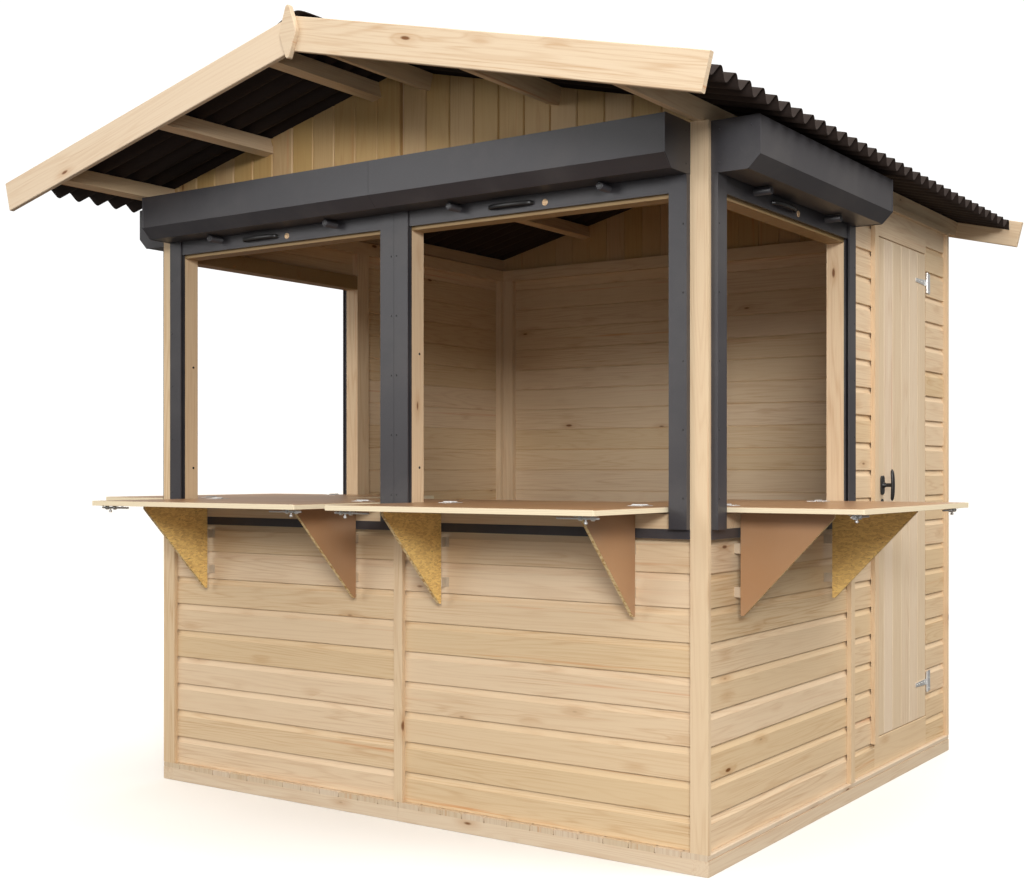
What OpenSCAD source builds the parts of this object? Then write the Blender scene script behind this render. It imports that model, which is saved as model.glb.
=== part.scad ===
// Wooden market stall: four serving hatches with roller shutters, fold-up counters,
// a side door and a low gable roof of corrugated sheet.
// Millimetres, +Z up, front towards -Y. Origin: centre of the base, on the ground.

/* [Footprint] */
// Width over the corner strips
body_w = 2540; // [2200:10:3100]
// Depth over the corner strips
body_d = 2470; // [2200:10:3100]

/* [Base] */
// Height of the ground bearers
bearer_h = 50; // [40:1:90]
// Width of the ground bearers
bearer_w = 60; // [45:1:90]
// Thickness of the floor boards
floor_t = 20; // [15:1:30]

/* [Walls] */
// Height of the wall below the hatches, from the floor boards
low_wall_h = 1004; // [800:2:1210]
// Thickness of the siding
siding_t = 20; // [16:1:28]
// Thickness of the cover strips
strip_t = 18; // [12:1:22]
// Width of the corner strips
corner_strip_w = 65; // [50:1:80]
// Width of the strips over the panel joints
joint_strip_w = 40; // [30:1:60]
// Depth of the wall frame behind the siding
frame_t = 32; // [28:1:60]
// Width of the wall posts
post_w = 60; // [45:1:60]

/* [Hatches] */
// Clear height from the flashing to the header
hatch_h = 1070; // [850:5:1280]
// Height of the flashing under each hatch
flashing_h = 32; // [25:1:60]
// Height of the header beam over each hatch
header_h = 65; // [60:1:95]
// Width of a shutter guide rail
rail_w = 65; // [50:1:80]
// Depth of a shutter guide rail
rail_t = 24; // [20:1:34]

/* [Shutter boxes] */
// Depth of a shutter box, out from the wall
box_d = 170; // [140:5:210]
// Height of a shutter box
box_h = 165; // [135:5:200]
// Width of the bevel along the box's lower edge
box_bevel = 42; // [20:1:60]
// Sheet thickness of the boxes
box_wall = 3; // [2:0.5:5]
// Visible height of the rolled shutter's end bar
bar_drop = 55; // [35:5:65]

/* [Counters] */
// Reach of a counter leaf beyond the wall
leaf_reach = 480; // [350:10:580]
// Thickness of the counter boards
leaf_t = 18; // [15:1:25]
// Height of the sill beam under a counter
sill_beam_h = 49; // [40:1:70]
// Depth of the fixed inner counter
inner_counter_d = 470; // [300:10:570]

/* [Brackets] */
// Height of a folding bracket
bracket_h = 340; // [250:10:420]
// Reach of a folding bracket
bracket_reach = 325; // [240:5:380]
// Thickness of a folding bracket
bracket_t = 12; // [9:1:18]
// Distance between the two brackets of a counter
bracket_span = 788; // [770:2:950]

/* [Door] */
// Width of the doorway
doorway_w = 650; // [540:10:780]
// Height of the wall over the doorway
over_door_h = 147; // [115:1:180]
// Height of the doorway's foot above the floor boards
doorway_step = 125; // [80:5:150]
// Distance of the doorway from the back of the stall
door_to_back = 277; // [225:1:335]
// Thickness of the door leaf
door_t = 38; // [28:1:45]

/* [Roof] */
// Roof pitch in degrees
roof_pitch = 13.8; // [10:0.2:20]
// Overhang of the roof at the front
front_overhang = 565; // [300:5:700]
// Overhang of the roof at the back
back_overhang = 185; // [100:5:400]
// Overhang of the sheets past each side
eave_overhang = 230; // [150:5:320]
// Height of the sheet's waves
wave_h = 37; // [25:1:45]
// Distance between two waves, rounded to a whole number of waves
wave_pitch = 95; // [70:1:120]
// Thickness of the corrugated sheet
sheet_t = 3; // [2:0.5:5]
// Width of a purlin
purlin_w = 42; // [35:1:60]
// Height of a purlin
purlin_h = 62; // [50:1:80]
// Width of the bargeboards
barge_w = 115; // [90:1:150]
// Thickness of the bargeboards
barge_t = 21; // [16:1:30]

/* [Hidden] */

wood = "burlywood";
dark_metal = "dimgray";
bright_metal = "silver";
board_film = "sienna";
sheet_colour = "saddlebrown";
joint_gap = 1;              // between two boards butted in one node
clear = 5;                  // room round a moving piece
hinge_gap = 0.3;            // room at a hinge barrel

half_w = body_w / 2;
half_d = body_d / 2;
floor_z = bearer_h + floor_t;
sill_z = floor_z + low_wall_h;
hatch_z0 = sill_z + flashing_h;
hatch_z1 = hatch_z0 + hatch_h;
header_z1 = hatch_z1 + header_h;
box_z0 = header_z1 + 3;
wall_z = box_z0 + box_h + 3;

// wall layers, measured in from the outer faces of the strips
siding_in = strip_t + siding_t;
wall_in = siding_in + frame_t;

// a hatch bay: local x along the wall, y = 0 at the strips, -y outwards
bay_l = half_w - corner_strip_w;
side_bay_l = half_d - strip_t - 12;
side_joint_y = 8;

module both_sides() {
    children();
    mirror([1, 0, 0]) children();
}
module block(x0, y0, z0, x1, y1, z1) {
    translate([x0, y0, z0]) cube([x1 - x0, y1 - y0, z1 - z0]);
}
module at_front_right() { translate([0, -half_d, 0]) children(); }
module at_front_left() { mirror([1, 0, 0]) at_front_right() children(); }
module at_right() { translate([half_w, -half_d + strip_t, 0]) rotate(90) children(); }
module at_left() { mirror([1, 0, 0]) at_right() children(); }

// ---------------------------------------------------------------- base and floor
module base_cross_bearers() {
    color(wood) both_sides() for (y = [-half_d, half_d - bearer_w])
        block(joint_gap / 2, y, 0, half_w - bearer_w, y + bearer_w, bearer_h);
    color(wood) block(-half_w + bearer_w, -bearer_w / 2, 0, half_w - bearer_w, bearer_w / 2, bearer_h);
}
module base_side_bearers() {
    color(wood) both_sides() for (s = [-1, 1])
        translate([half_w - bearer_w, s > 0 ? joint_gap / 2 : -half_d, 0])
            cube([bearer_w, half_d - joint_gap / 2, bearer_h]);
}
module floor_boards() {
    color(wood) block(-half_w, -half_d, bearer_h, half_w, half_d, floor_z);
}

// ---------------------------------------------------------------- siding
siding_x = half_w - siding_in;      // inner face of the side siding
siding_y = half_d - siding_in;      // inner face of the front and back siding
siding_end = half_d - strip_t;      // where the side siding meets the corner strips

module front_wall_siding() {
    color(wood) both_sides()
        block(joint_gap / 2, -siding_end, floor_z, siding_x, -siding_y, sill_z);
}
module back_wall_siding() {
    color(wood) both_sides()
        block(joint_gap / 2, siding_y, floor_z, siding_x, siding_end, wall_z);
}
module side_wall_lower_siding() {
    color(wood) both_sides()
        block(siding_x, -siding_end, floor_z, half_w - strip_t, side_joint_y, sill_z);
}
module side_wall_upper_siding() {
    color(wood) both_sides()
        block(siding_x, -siding_end, header_z1, half_w - strip_t, side_joint_y, wall_z);
}
module left_wall_rear_siding() {
    color(wood) mirror([1, 0, 0])
        block(siding_x, side_joint_y, floor_z, half_w - strip_t, siding_end, wall_z);
}
doorway_z0 = floor_z + doorway_step;
doorway_z1 = wall_z - over_door_h;
doorway_y1 = half_d - door_to_back;
doorway_y = doorway_y1 - doorway_w;
module right_wall_siding_beside_door() {
    color(wood) for (y = [[side_joint_y, doorway_y], [doorway_y1, siding_end]])
        block(siding_x, y[0], floor_z, half_w - strip_t, y[1], wall_z);
}
module right_wall_siding_over_and_under_door() {
    color(wood) for (z = [[floor_z, doorway_z0], [doorway_z1, wall_z]])
        block(siding_x, doorway_y, z[0], half_w - strip_t, doorway_y1, z[1]);
}

// ---------------------------------------------------------------- roof geometry
slope = tan(roof_pitch);
seat_cut = 4;                       // depth of the seat on the wall's top
purlin_foot_x = half_w - strip_t - 2;
purlin_top_x = purlin_foot_x + purlin_h * sin(roof_pitch);
ridge_z = wall_z - seat_cut + purlin_h * cos(roof_pitch) + slope * purlin_top_x;
eave_x = half_w + eave_overhang;
roof_y0 = -half_d - front_overhang;
roof_y1 = half_d + back_overhang;
sheet_y0 = roof_y0 + barge_t;
sheet_y1 = roof_y1 - barge_t;
inner_purlin_x = 150;               // outer top edge of the purlin beside the ridge
purlin_gap = (purlin_top_x - inner_purlin_x) / 2;

// one purlin on the right-hand slope, its outer top edge at x
module purlin_at(x) {
    translate([x, sheet_y0, ridge_z - slope * x]) rotate([0, roof_pitch, 0])
        translate([-purlin_w, 0, -purlin_h]) cube([purlin_w, sheet_y1 - sheet_y0, purlin_h]);
}
module purlin_row() {
    for (i = [0:2]) purlin_at(inner_purlin_x + i * purlin_gap);
}
module purlins() {
    color(wood) both_sides() difference() {
        purlin_row();
        block(half_w / 2, -half_d, wall_z - purlin_h, half_w, half_d, wall_z);
    }
}

// ---------------------------------------------------------------- gables
gable_gap = 14;                     // open joint between the two gable halves
module gable_half(y0, y1, z0) {
    difference() {
        translate([0, y1, 0]) rotate([90, 0, 0]) linear_extrude(y1 - y0)
            polygon([[gable_gap / 2, z0], [siding_x, z0],
                     [siding_x, ridge_z - slope * siding_x],
                     [gable_gap / 2, ridge_z - slope * gable_gap / 2]]);
        purlin_row();
    }
}
module front_gable_boards() {
    color(wood) both_sides() gable_half(-siding_end, -siding_y, header_z1);
}
module back_gable_boards() {
    color(wood) both_sides() gable_half(siding_y, siding_end, wall_z);
}
module gable_posts() {
    color(wood) for (y = [-siding_y, siding_y - frame_t])
        block(-post_w / 2, y, wall_z, post_w / 2, y + frame_t, ridge_z - slope * post_w / 2);
}

// ---------------------------------------------------------------- wall frame
post_z1 = wall_z - post_w;
joint_strip_y = side_joint_y - 6;
module front_post(x0, x1, face_x0, face_x1) {
    block(x0, siding_in, floor_z, x1, wall_in, post_z1);
    block(face_x0, 0, hatch_z0, face_x1, siding_in, header_z1);
    block(max(x0, face_x0), siding_in - 1, hatch_z0, min(x1, face_x1), wall_in, header_z1);
}
module front_posts() {
    color(wood) both_sides() at_front_right() {
        front_post(joint_gap / 2, rail_w, joint_gap / 2, rail_w);
        front_post(bay_l - rail_w, half_w - wall_in, bay_l - rail_w, bay_l);
    }
}
module back_posts() {
    color(wood) both_sides() for (x = [[joint_gap / 2, rail_w], [bay_l - rail_w, half_w - wall_in]])
        block(x[0], half_d - wall_in, floor_z, x[1], siding_y, post_z1);
}
module side_post(y0, y1) {
    block(half_w - wall_in, y0, floor_z, siding_x, y1, post_z1);
}
module side_posts() {
    color(wood) both_sides() {
        at_right() {
            front_post(siding_t, rail_w, 0, rail_w);
            front_post(side_bay_l - rail_w, siding_end + side_joint_y,
                       side_bay_l - rail_w, siding_end + joint_strip_y);
        }
        side_post(siding_y - post_w, siding_y);
    }
    color(wood) for (y = [doorway_y - post_w, doorway_y1]) side_post(y, y + post_w);
}
module front_and_back_plates() {
    color(wood) for (y = [-siding_y, siding_y - frame_t])
        block(-half_w + wall_in, y, post_z1, half_w - wall_in, y + frame_t, wall_z);
}
module side_plates() {
    color(wood) both_sides()
        block(half_w - wall_in, -siding_y, post_z1, siding_x, siding_y, wall_z);
}
module hatch_header(l) {
    block(rail_w, 0, hatch_z1, l - rail_w, wall_in, header_z1);
}
module hatch_headers() {
    color(wood) both_sides() {
        at_front_right() hatch_header(bay_l);
        at_right() hatch_header(side_bay_l);
    }
}

// ---------------------------------------------------------------- strips and flashings
eave_strip_h = 26;
module corner_strips() {
    color(wood) both_sides() for (y = [-half_d, half_d - strip_t])
        block(half_w - corner_strip_w, y, floor_z, half_w, y + strip_t, wall_z);
}
module joint_strips() {
    strip_z1 = wall_z - eave_strip_h;
    color(wood) block(-joint_strip_w / 2, -half_d, floor_z, joint_strip_w / 2, -siding_end, sill_z);
    color(wood) block(-joint_strip_w / 2, siding_end, floor_z, joint_strip_w / 2, half_d, wall_z);
    color(wood) both_sides()
        block(half_w - strip_t, joint_strip_y, floor_z,
              half_w, joint_strip_y + joint_strip_w, strip_z1);
    color(wood) block(half_w - strip_t, doorway_y - joint_strip_w, doorway_z0 - 15,
                      half_w, doorway_y, strip_z1);
}
module eave_strips() {
    color(wood) both_sides()
        block(half_w - strip_t, side_joint_y, wall_z - eave_strip_h, half_w, siding_end, wall_z);
}
module flashing(x0, x1) {
    block(x0, -2, sill_z, x1, strip_t, hatch_z0);
}
module sill_flashings() {
    color(dark_metal) {
        both_sides() at_front_right() flashing(joint_gap / 2, bay_l);
        both_sides() at_right() flashing(0, side_bay_l);
    }
}

// ---------------------------------------------------------------- shutters
box_slot = 20;                      // slot that the curtain comes out of
module box_profile(inset) {
    polygon([[-box_d + inset, box_z0 + box_bevel + inset * 0.414],
             [-box_d + inset, box_z0 + box_h - inset],
             [-inset, box_z0 + box_h - inset],
             [-inset, box_z0 + inset],
             [-box_d + box_bevel + inset * 0.414, box_z0 + inset]]);
}
module along_x(x0, x1) {
    translate([x0, 0, 0]) rotate([90, 0, 90]) linear_extrude(x1 - x0) children();
}
module shutter_box(x0, x1) {
    difference() {
        along_x(x0, x1) box_profile(0);
        along_x(x0 + box_wall, x1 - box_wall) box_profile(box_wall);
        block(x0 + box_wall, -rail_t, box_z0 - 1, x1 - box_wall, -rail_t + box_slot,
              box_z0 + box_wall + 1);
    }
}
module front_shutter_boxes() {
    color(dark_metal) both_sides() at_front_right() shutter_box(joint_gap / 2, bay_l);
}
module side_shutter_boxes() {
    color(dark_metal) both_sides() at_right() shutter_box(0, side_bay_l);
}
slot_t = 10;
slot_d = 45;
slot_y = -(rail_t + slot_t) / 2;
module guide_rail(x0, slot_side) {
    difference() {
        block(x0, -rail_t, hatch_z0, x0 + rail_w - joint_gap / 2, 0, box_z0);
        translate([slot_side > 0 ? x0 + rail_w - slot_d : x0 - 1, slot_y, hatch_z0 - 1])
            cube([slot_d + 1, slot_t, box_z0 - hatch_z0 + 2]);
    }
}
module rail_pair(l) {
    guide_rail(joint_gap / 2, 1);
    guide_rail(l - rail_w, -1);
}
module front_guide_rails() {
    color(dark_metal) both_sides() at_front_right() rail_pair(bay_l);
}
module side_guide_rails() {
    color(dark_metal) both_sides() at_right() rail_pair(side_bay_l);
}
bar_t = 9;
stop_r = 11;
stop_l = 62;
stop_spread = 310;
pull_w = 186;
pull_off = 82;   // the pull stands off its bay's middle, on the side that pull_side gives
module end_bar(l, pull_side) {
    bar_y = slot_y + (slot_t - bar_t) / 2;
    stop_z = box_z0 - stop_r - 4;
    block(rail_w - slot_d + 4, bar_y, box_z0 - bar_drop,
          l - rail_w + slot_d - 4, bar_y + bar_t, box_z0 + 18);
    for (s = [-1, 1])
        translate([l / 2 + s * stop_spread, bar_y + 1, stop_z]) rotate([90, 0, 0])
            cylinder(r = stop_r, h = stop_l, $fn = 32);
    translate([l / 2 + pull_side * pull_off, bar_y + 1, box_z0 - 30]) intersection() {
        translate([0, pull_w - 26, 0]) cylinder(r = pull_w, h = 4, $fn = 96);
        block(-pull_w / 2, -30, -1, pull_w / 2, 0, 5);
    }
}
module shutter_end_bars() {
    color(dark_metal) {
        at_front_right() end_bar(bay_l, -1);
        mirror([1, 0, 0]) at_front_right() end_bar(bay_l, 1);
        both_sides() at_right() end_bar(side_bay_l, -1);
    }
}

// ---------------------------------------------------------------- counters
beam_z1 = hatch_z0 + sill_beam_h;
leaf_z0 = beam_z1 + clear;
leaf_z1 = leaf_z0 + leaf_t;
hinge_y = strip_t + siding_t + 7;   // hinge line, in from the wall's outer plane
hinge_r = 3.2;
hinge_z = leaf_z1 + hinge_r + hinge_gap;
module hatch_sill_beam(l) {
    block(rail_w, 0, hatch_z0, l - rail_w, wall_in, beam_z1);
    block(rail_w, hinge_y + hinge_gap, hatch_z0, l - rail_w, wall_in, leaf_z0);
}
module hatch_sill_beams() {
    color(wood) both_sides() {
        at_front_right() hatch_sill_beam(bay_l);
        at_right() hatch_sill_beam(side_bay_l);
    }
}
inner_y = half_d - wall_in;         // inner faces of the frame
inner_x = half_w - wall_in;
module front_inner_counters() {
    color(board_film) both_sides() {
        block(joint_gap / 2, -inner_y, leaf_z0, inner_x, -inner_y + inner_counter_d, leaf_z1);
        at_front_right()
            block(rail_w + clear, hinge_y + hinge_gap, leaf_z0, bay_l - rail_w - clear,
                  wall_in + 1, leaf_z1);
    }
}
module side_inner_counters() {
    front_edge = -inner_y + inner_counter_d + joint_gap;
    color(board_film) both_sides() {
        block(inner_x - inner_counter_d, front_edge, leaf_z0, inner_x,
              -siding_end + side_bay_l - rail_w, leaf_z1);
        at_right() difference() {
            block(rail_w + clear, hinge_y + hinge_gap, leaf_z0, side_bay_l - rail_w - clear,
                  wall_in + 1, leaf_z1);
            block(0, wall_in, 0, front_edge + siding_end, wall_in + 2, leaf_z1 + 1);
        }
    }
}
plate_w = 60;
plate_d = 34;
plate_t = 2;
module hinge_pair(l) {
    for (s = [-1, 1]) translate([l / 2 + s * bracket_span / 2, 0, 0]) {
        translate([-plate_w / 2, hinge_y, hinge_z]) rotate([0, 90, 0])
            cylinder(r = hinge_r, h = plate_w, $fn = 24);
        block(-plate_w / 2, hinge_y + 1, leaf_z1, plate_w / 2, hinge_y + plate_d, leaf_z1 + plate_t);
    }
}
module counter_hinges() {
    color(bright_metal) both_sides() {
        at_front_right() hinge_pair(bay_l);
        at_right() hinge_pair(side_bay_l);
    }
}
module counter_leaf(l) {
    color(board_film)
        block(rail_w + clear, -leaf_reach, leaf_z0, l - rail_w - clear, hinge_y, leaf_z1);
}

// ---------------------------------------------------------------- brackets
bracket_y = -(2 + clear);           // hinge line, in front of the flashing
bracket_back = 3;                   // from the hinge line to the bracket's edge
bracket_z1 = leaf_z0 - clear;
bracket_z0 = bracket_z1 - bracket_h;
bracket_tip = 8;
// s = -1: the bracket at the bay's start, 1: the one at its end
module bracket(l, s) {
    color("tan") translate([l / 2 + s * bracket_span / 2, bracket_y - bracket_back, bracket_z0])
        rotate([90, 0, -90]) translate([0, 0, s > 0 ? -bracket_t : 0])
            linear_extrude(bracket_t)
                polygon([[0, 0], [0, bracket_h], [bracket_reach, bracket_h],
                         [bracket_reach, bracket_h - bracket_tip], [bracket_tip, 0]]);
}
bracket_hinge_h = 34;             // height of a small butt hinge
bracket_hinge_w = 14;             // width of its plate on the wall
module bracket_hinge_pair(l) {
    for (s = [-1, 1], z = [bracket_z0 + 60, sill_z - 20 - bracket_hinge_h])
        translate([l / 2 + s * bracket_span / 2, bracket_y, z]) {
            cylinder(r = bracket_back - hinge_gap, h = bracket_hinge_h, $fn = 24);
            translate([-1, 0, 0]) cube([2, strip_t - bracket_y, bracket_hinge_h]);
            translate([s > 0 ? -bracket_hinge_w : -1, strip_t - bracket_y - 2, 0])
                cube([bracket_hinge_w + 1, 2, bracket_hinge_h]);
        }
}
module bracket_hinges() {
    color(bright_metal) both_sides() {
        at_front_right() bracket_hinge_pair(bay_l);
        at_right() bracket_hinge_pair(side_bay_l);
    }
}

// ---------------------------------------------------------------- door
door_face = half_w - strip_t;
barrel_r = 6;
pin_x = door_face + barrel_r;
pin_y = doorway_y1;
strap_z = [doorway_z0 + 155, doorway_z1 - 130];
strap_h = 90;
strap_l = 140;
knuckle_h = 26;
pin_r = 3;
module door_leaf() {
    color(wood) block(door_face - door_t, doorway_y + clear + 2, doorway_z0 + clear,
                      door_face, doorway_y1 - clear, doorway_z1 - clear);
}
module door_straps() {
    color(bright_metal) for (z = strap_z) {
        difference() {
            union() {
                translate([pin_x, pin_y, z - knuckle_h / 2]) cylinder(r = barrel_r, h = knuckle_h, $fn = 32);
                translate([door_face, pin_y, z]) rotate([90, 0, 90]) mirror([1, 0, 0])
                    linear_extrude(3) polygon([[0, -knuckle_h / 2], [strap_l, -8], [strap_l, 8],
                                               [0, knuckle_h / 2]]);
            }
            translate([pin_x, pin_y, z - 50]) cylinder(r = pin_r + hinge_gap, h = 100, $fn = 32);
        }
    }
}
module door_hinge_plates() {
    color(bright_metal) for (z = strap_z) {
        translate([pin_x, pin_y, z - strap_h / 2]) cylinder(r = pin_r, h = strap_h, $fn = 32);
        end_h = (strap_h - knuckle_h) / 2 - hinge_gap;
        for (z0 = [z - strap_h / 2, z + strap_h / 2 - end_h])
            translate([0, 0, z0]) {
                translate([pin_x, pin_y, 0]) cylinder(r = barrel_r, h = end_h, $fn = 32);
                block(door_face, pin_y + 3, 0, pin_x + 3, pin_y + barrel_r + 2, end_h);
            }
        block(door_face, pin_y + barrel_r + 1, z - strap_h / 2, door_face + 3, pin_y + 54, z + strap_h / 2);
    }
}
handle_y = doorway_y + 86;
handle_z = doorway_z0 + 1040;
module door_handle() {
    color("darkslategray") {
        block(door_face, handle_y - 20, handle_z - 40, door_face + 7, handle_y + 20, handle_z + 40);
        translate([door_face + 6, handle_y, handle_z]) rotate([0, 90, 0]) cylinder(r = 9, h = 40, $fn = 32);
        block(door_face + 40, handle_y - 10, handle_z - 60, door_face + 54, handle_y + 10, handle_z + 60);
    }
}

// ---------------------------------------------------------------- roof
wave_count = round((sheet_y1 - sheet_y0) / wave_pitch);
wave_steps = 6;
function wave_points(lift) = [
    for (i = [0 : wave_count * wave_steps])
        [sheet_y0 + i * (sheet_y1 - sheet_y0) / (wave_count * wave_steps),
         lift + wave_h / 2 * (1 - cos(360 * i / wave_steps))]];
function reversed(list) = [for (i = [len(list) - 1 : -1 : 0]) list[i]];
sheet_l = eave_x / cos(roof_pitch);
module roof_sheet() {
    translate([0, 0, ridge_z]) rotate([0, roof_pitch, 0]) translate([4, 0, 0])
        rotate([90, 0, 90]) linear_extrude(sheet_l - 4)
            polygon(concat(wave_points(0), reversed(wave_points(sheet_t))));
}
module right_roof_sheet() { color(sheet_colour) roof_sheet(); }
module left_roof_sheet() { color(sheet_colour) mirror([1, 0, 0]) roof_sheet(); }
cap_wing = 150;
cap_t = 3;
cap_rise = 24;   // the cap's middle stands higher than a cap parallel to the sheets
cap_z = ridge_z + (wave_h + sheet_t) / cos(roof_pitch) + hinge_gap;
module ridge_cap() {
    color(sheet_colour) translate([0, sheet_y1, 0]) rotate([90, 0, 0])
        linear_extrude(sheet_y1 - sheet_y0)
            polygon([[-cap_wing, cap_z - slope * cap_wing], [0, cap_z + cap_rise],
                     [cap_wing, cap_z - slope * cap_wing],
                     [cap_wing, cap_z - slope * cap_wing + cap_t], [0, cap_z + cap_rise + cap_t],
                     [-cap_wing, cap_z - slope * cap_wing + cap_t]]);
}
barge_x = eave_x + 58;
barge_z = ridge_z + 46;
barge_v = barge_w / cos(roof_pitch);
module barge_half(y) {
    foot_x = barge_x - barge_w * sin(roof_pitch);
    translate([0, y + barge_t, 0]) rotate([90, 0, 0]) linear_extrude(barge_t)
        polygon([[joint_gap / 2, barge_z - barge_v], [joint_gap / 2, barge_z],
                 [barge_x, barge_z - slope * barge_x],
                 [foot_x, barge_z - barge_v - slope * foot_x]]);
}
module front_bargeboards() { color(wood) both_sides() barge_half(roof_y0); }
module back_bargeboards() { color(wood) both_sides() barge_half(roof_y1 - barge_t); }
finial_h = 180;
finial_w = 80;
finial_t = 21;
module gable_finials() {
    color(wood) for (y = [roof_y0, roof_y1 + finial_t])
        translate([0, y, barge_z + 32 - finial_h / 2]) rotate([90, 0, 0]) linear_extrude(finial_t)
            polygon([[-finial_w / 2, 0], [0, -finial_h / 2], [finial_w / 2, 0], [0, finial_h / 2]]);
}

base_cross_bearers();
base_side_bearers();
floor_boards();
front_wall_siding();
side_wall_lower_siding();
side_wall_upper_siding();
left_wall_rear_siding();
right_wall_siding_beside_door();
right_wall_siding_over_and_under_door();
back_wall_siding();
front_gable_boards();
back_gable_boards();
front_posts();
back_posts();
side_posts();
gable_posts();
front_and_back_plates();
side_plates();
hatch_headers();
hatch_sill_beams();
corner_strips();
joint_strips();
eave_strips();
sill_flashings();
front_shutter_boxes();
side_shutter_boxes();
front_guide_rails();
side_guide_rails();
shutter_end_bars();
front_inner_counters();
side_inner_counters();
counter_hinges();
at_front_left() counter_leaf(bay_l);  // counter_leaf_front_left
at_front_right() counter_leaf(bay_l);  // counter_leaf_front_right
at_left() counter_leaf(side_bay_l);  // counter_leaf_left
at_right() counter_leaf(side_bay_l);  // counter_leaf_right
at_front_left() bracket(bay_l, -1);  // bracket_front_left_a
at_front_left() bracket(bay_l, 1);  // bracket_front_left_b
at_front_right() bracket(bay_l, -1);  // bracket_front_right_a
at_front_right() bracket(bay_l, 1);  // bracket_front_right_b
at_left() bracket(side_bay_l, -1);  // bracket_left_a
at_left() bracket(side_bay_l, 1);  // bracket_left_b
at_right() bracket(side_bay_l, -1);  // bracket_right_a
at_right() bracket(side_bay_l, 1);  // bracket_right_b
bracket_hinges();
door_leaf();
door_straps();
door_handle();
door_hinge_plates();
purlins();
left_roof_sheet();
right_roof_sheet();
ridge_cap();
front_bargeboards();
back_bargeboards();
gable_finials();
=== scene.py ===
import math

import bpy
import numpy as np
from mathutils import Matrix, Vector
from bpy.props import FloatProperty, FloatVectorProperty, IntProperty, PointerProperty


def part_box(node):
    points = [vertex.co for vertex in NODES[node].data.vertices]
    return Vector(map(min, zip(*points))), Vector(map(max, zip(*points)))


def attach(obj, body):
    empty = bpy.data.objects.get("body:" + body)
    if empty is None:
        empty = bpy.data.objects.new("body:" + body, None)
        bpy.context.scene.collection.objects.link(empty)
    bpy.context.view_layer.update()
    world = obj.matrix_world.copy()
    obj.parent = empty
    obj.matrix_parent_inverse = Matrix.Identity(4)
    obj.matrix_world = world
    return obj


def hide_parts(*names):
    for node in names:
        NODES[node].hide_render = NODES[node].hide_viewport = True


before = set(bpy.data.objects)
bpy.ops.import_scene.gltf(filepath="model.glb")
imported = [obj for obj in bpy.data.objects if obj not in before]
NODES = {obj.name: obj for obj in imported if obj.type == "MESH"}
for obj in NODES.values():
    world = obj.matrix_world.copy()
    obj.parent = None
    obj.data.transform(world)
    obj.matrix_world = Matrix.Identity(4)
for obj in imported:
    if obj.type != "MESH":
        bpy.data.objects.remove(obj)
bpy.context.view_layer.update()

bl_info = {
    "name": "Wooden market stall",
    "version": (1, 0, 0),
    "blender": (4, 5, 0),
    "location": "3D View > Sidebar > Stall",
    "description": "Boards, sheets, fittings and finishes of a gabled market stall",
    "category": "Object",
}

BAYS = ("front_left", "front_right", "left", "right")
UP = np.array([0, 0, 1.0])

# Fixed sizes, in metres.
RIDGE_GAP = 0.007
BARGE_DEPTH = 0.115
NAIL_ROWS = (0.69, 1.235)
DOOR_LEDGE = 0.018
BOX_BEVEL = 0.042
BRACKET_SPREAD, BRACKET_TIP = 0.394, 0.010
PULL_HALF, PULL_SHIFT, PULL_REACH = 0.090, 0.082, 0.028
POST_FACE, BOLT_SETBACK = 0.065, 0.045

# The studio: exposure, floor, sky and camera.
STUDIO_EXPOSURE = 0.12
FLOOR_REACH, FLOOR_POINTS, FLOOR_BOUNCE = 60.0, 41, 0.10
SKY_HORIZON, SKY_ZENITH = 0.22, 1.55
SKY_TINT = (1.0, 0.945, 0.87)
CAMERA_PLACE, CAMERA_TURN = (3.2674, -5.2340, 1.2958), 34.572
CAMERA_SENSOR, CAMERA_LENS, CAMERA_SHIFT = 36.0, 48.96, 0.0287


# ------------------------------------------------------------------ sizes and colours
def length(name, description, default):
    """A size in metres that a user can change."""
    return FloatProperty(name=name, description=description, default=default, min=0.0,
                         precision=4, unit="LENGTH")


def colour(name, description, default):
    """A colour that a user can change."""
    return FloatVectorProperty(name=name, description=description, default=default, size=3,
                               min=0.0, max=1.0, subtype="COLOR")


class STALL_PG_sizes(bpy.types.PropertyGroup):
    board_cover: length("Board cover", "Height that one siding board covers", 0.1115)
    lap_step: length("Lap step", "How far a board stands out over the one below", 0.0095)
    cove: length("Cove", "Height of the hollow along a siding board's head", 0.025)
    upright_pitch: length("Upright pitch", "Width of an upright gable or door board", 0.1085)
    floor_pitch: length("Floor pitch", "Width of a floor board", 0.099)
    joint: length("Board joint", "Open joint between two upright boards", 0.0022)
    wave_pitch: length("Wave pitch", "Distance between two waves of the roof sheet", 0.095)
    wave_height: length("Wave height", "Height of the roof sheet's waves", 0.037)
    sheet: length("Sheet", "Thickness of the roof sheet", 0.003)
    sheet_lap: length("Sheet lap", "Lift of every other sheet where they lap", 0.0028)
    groove: length("Inner groove", "Bevel at each board's edge on a wall's inner face", 0.0042)
    arris: length("Arris", "Small bevel on sawn edges", 0.0022)
    screw: length("Screw", "Radius of a screw head", 0.0042)
    bar_face: length("Bar face", "How far an end bar's face stands out from the wall", 0.0165)
    lock_offset: length("Lock offset", "Distance of a lock from its bay's middle", 0.057)
    pull_drop: length("Pull drop", "Height of the pulls below the shutter boxes", 0.028)
    stop_drop: length("Stop drop", "Height of the stoppers below the shutter boxes", 0.015)
    stop_spread: length("Stop spread", "Distance of a stopper from its bay's middle", 0.310)
    stop_radius: length("Stop radius", "Radius of a stopper", 0.0135)
    stop_reach: length("Stop reach", "How far a stopper stands out from its bar", 0.062)
    waves_per_sheet: IntProperty(name="Waves per sheet", description="Waves in one roof sheet",
                                 default=10, min=3)


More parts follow.
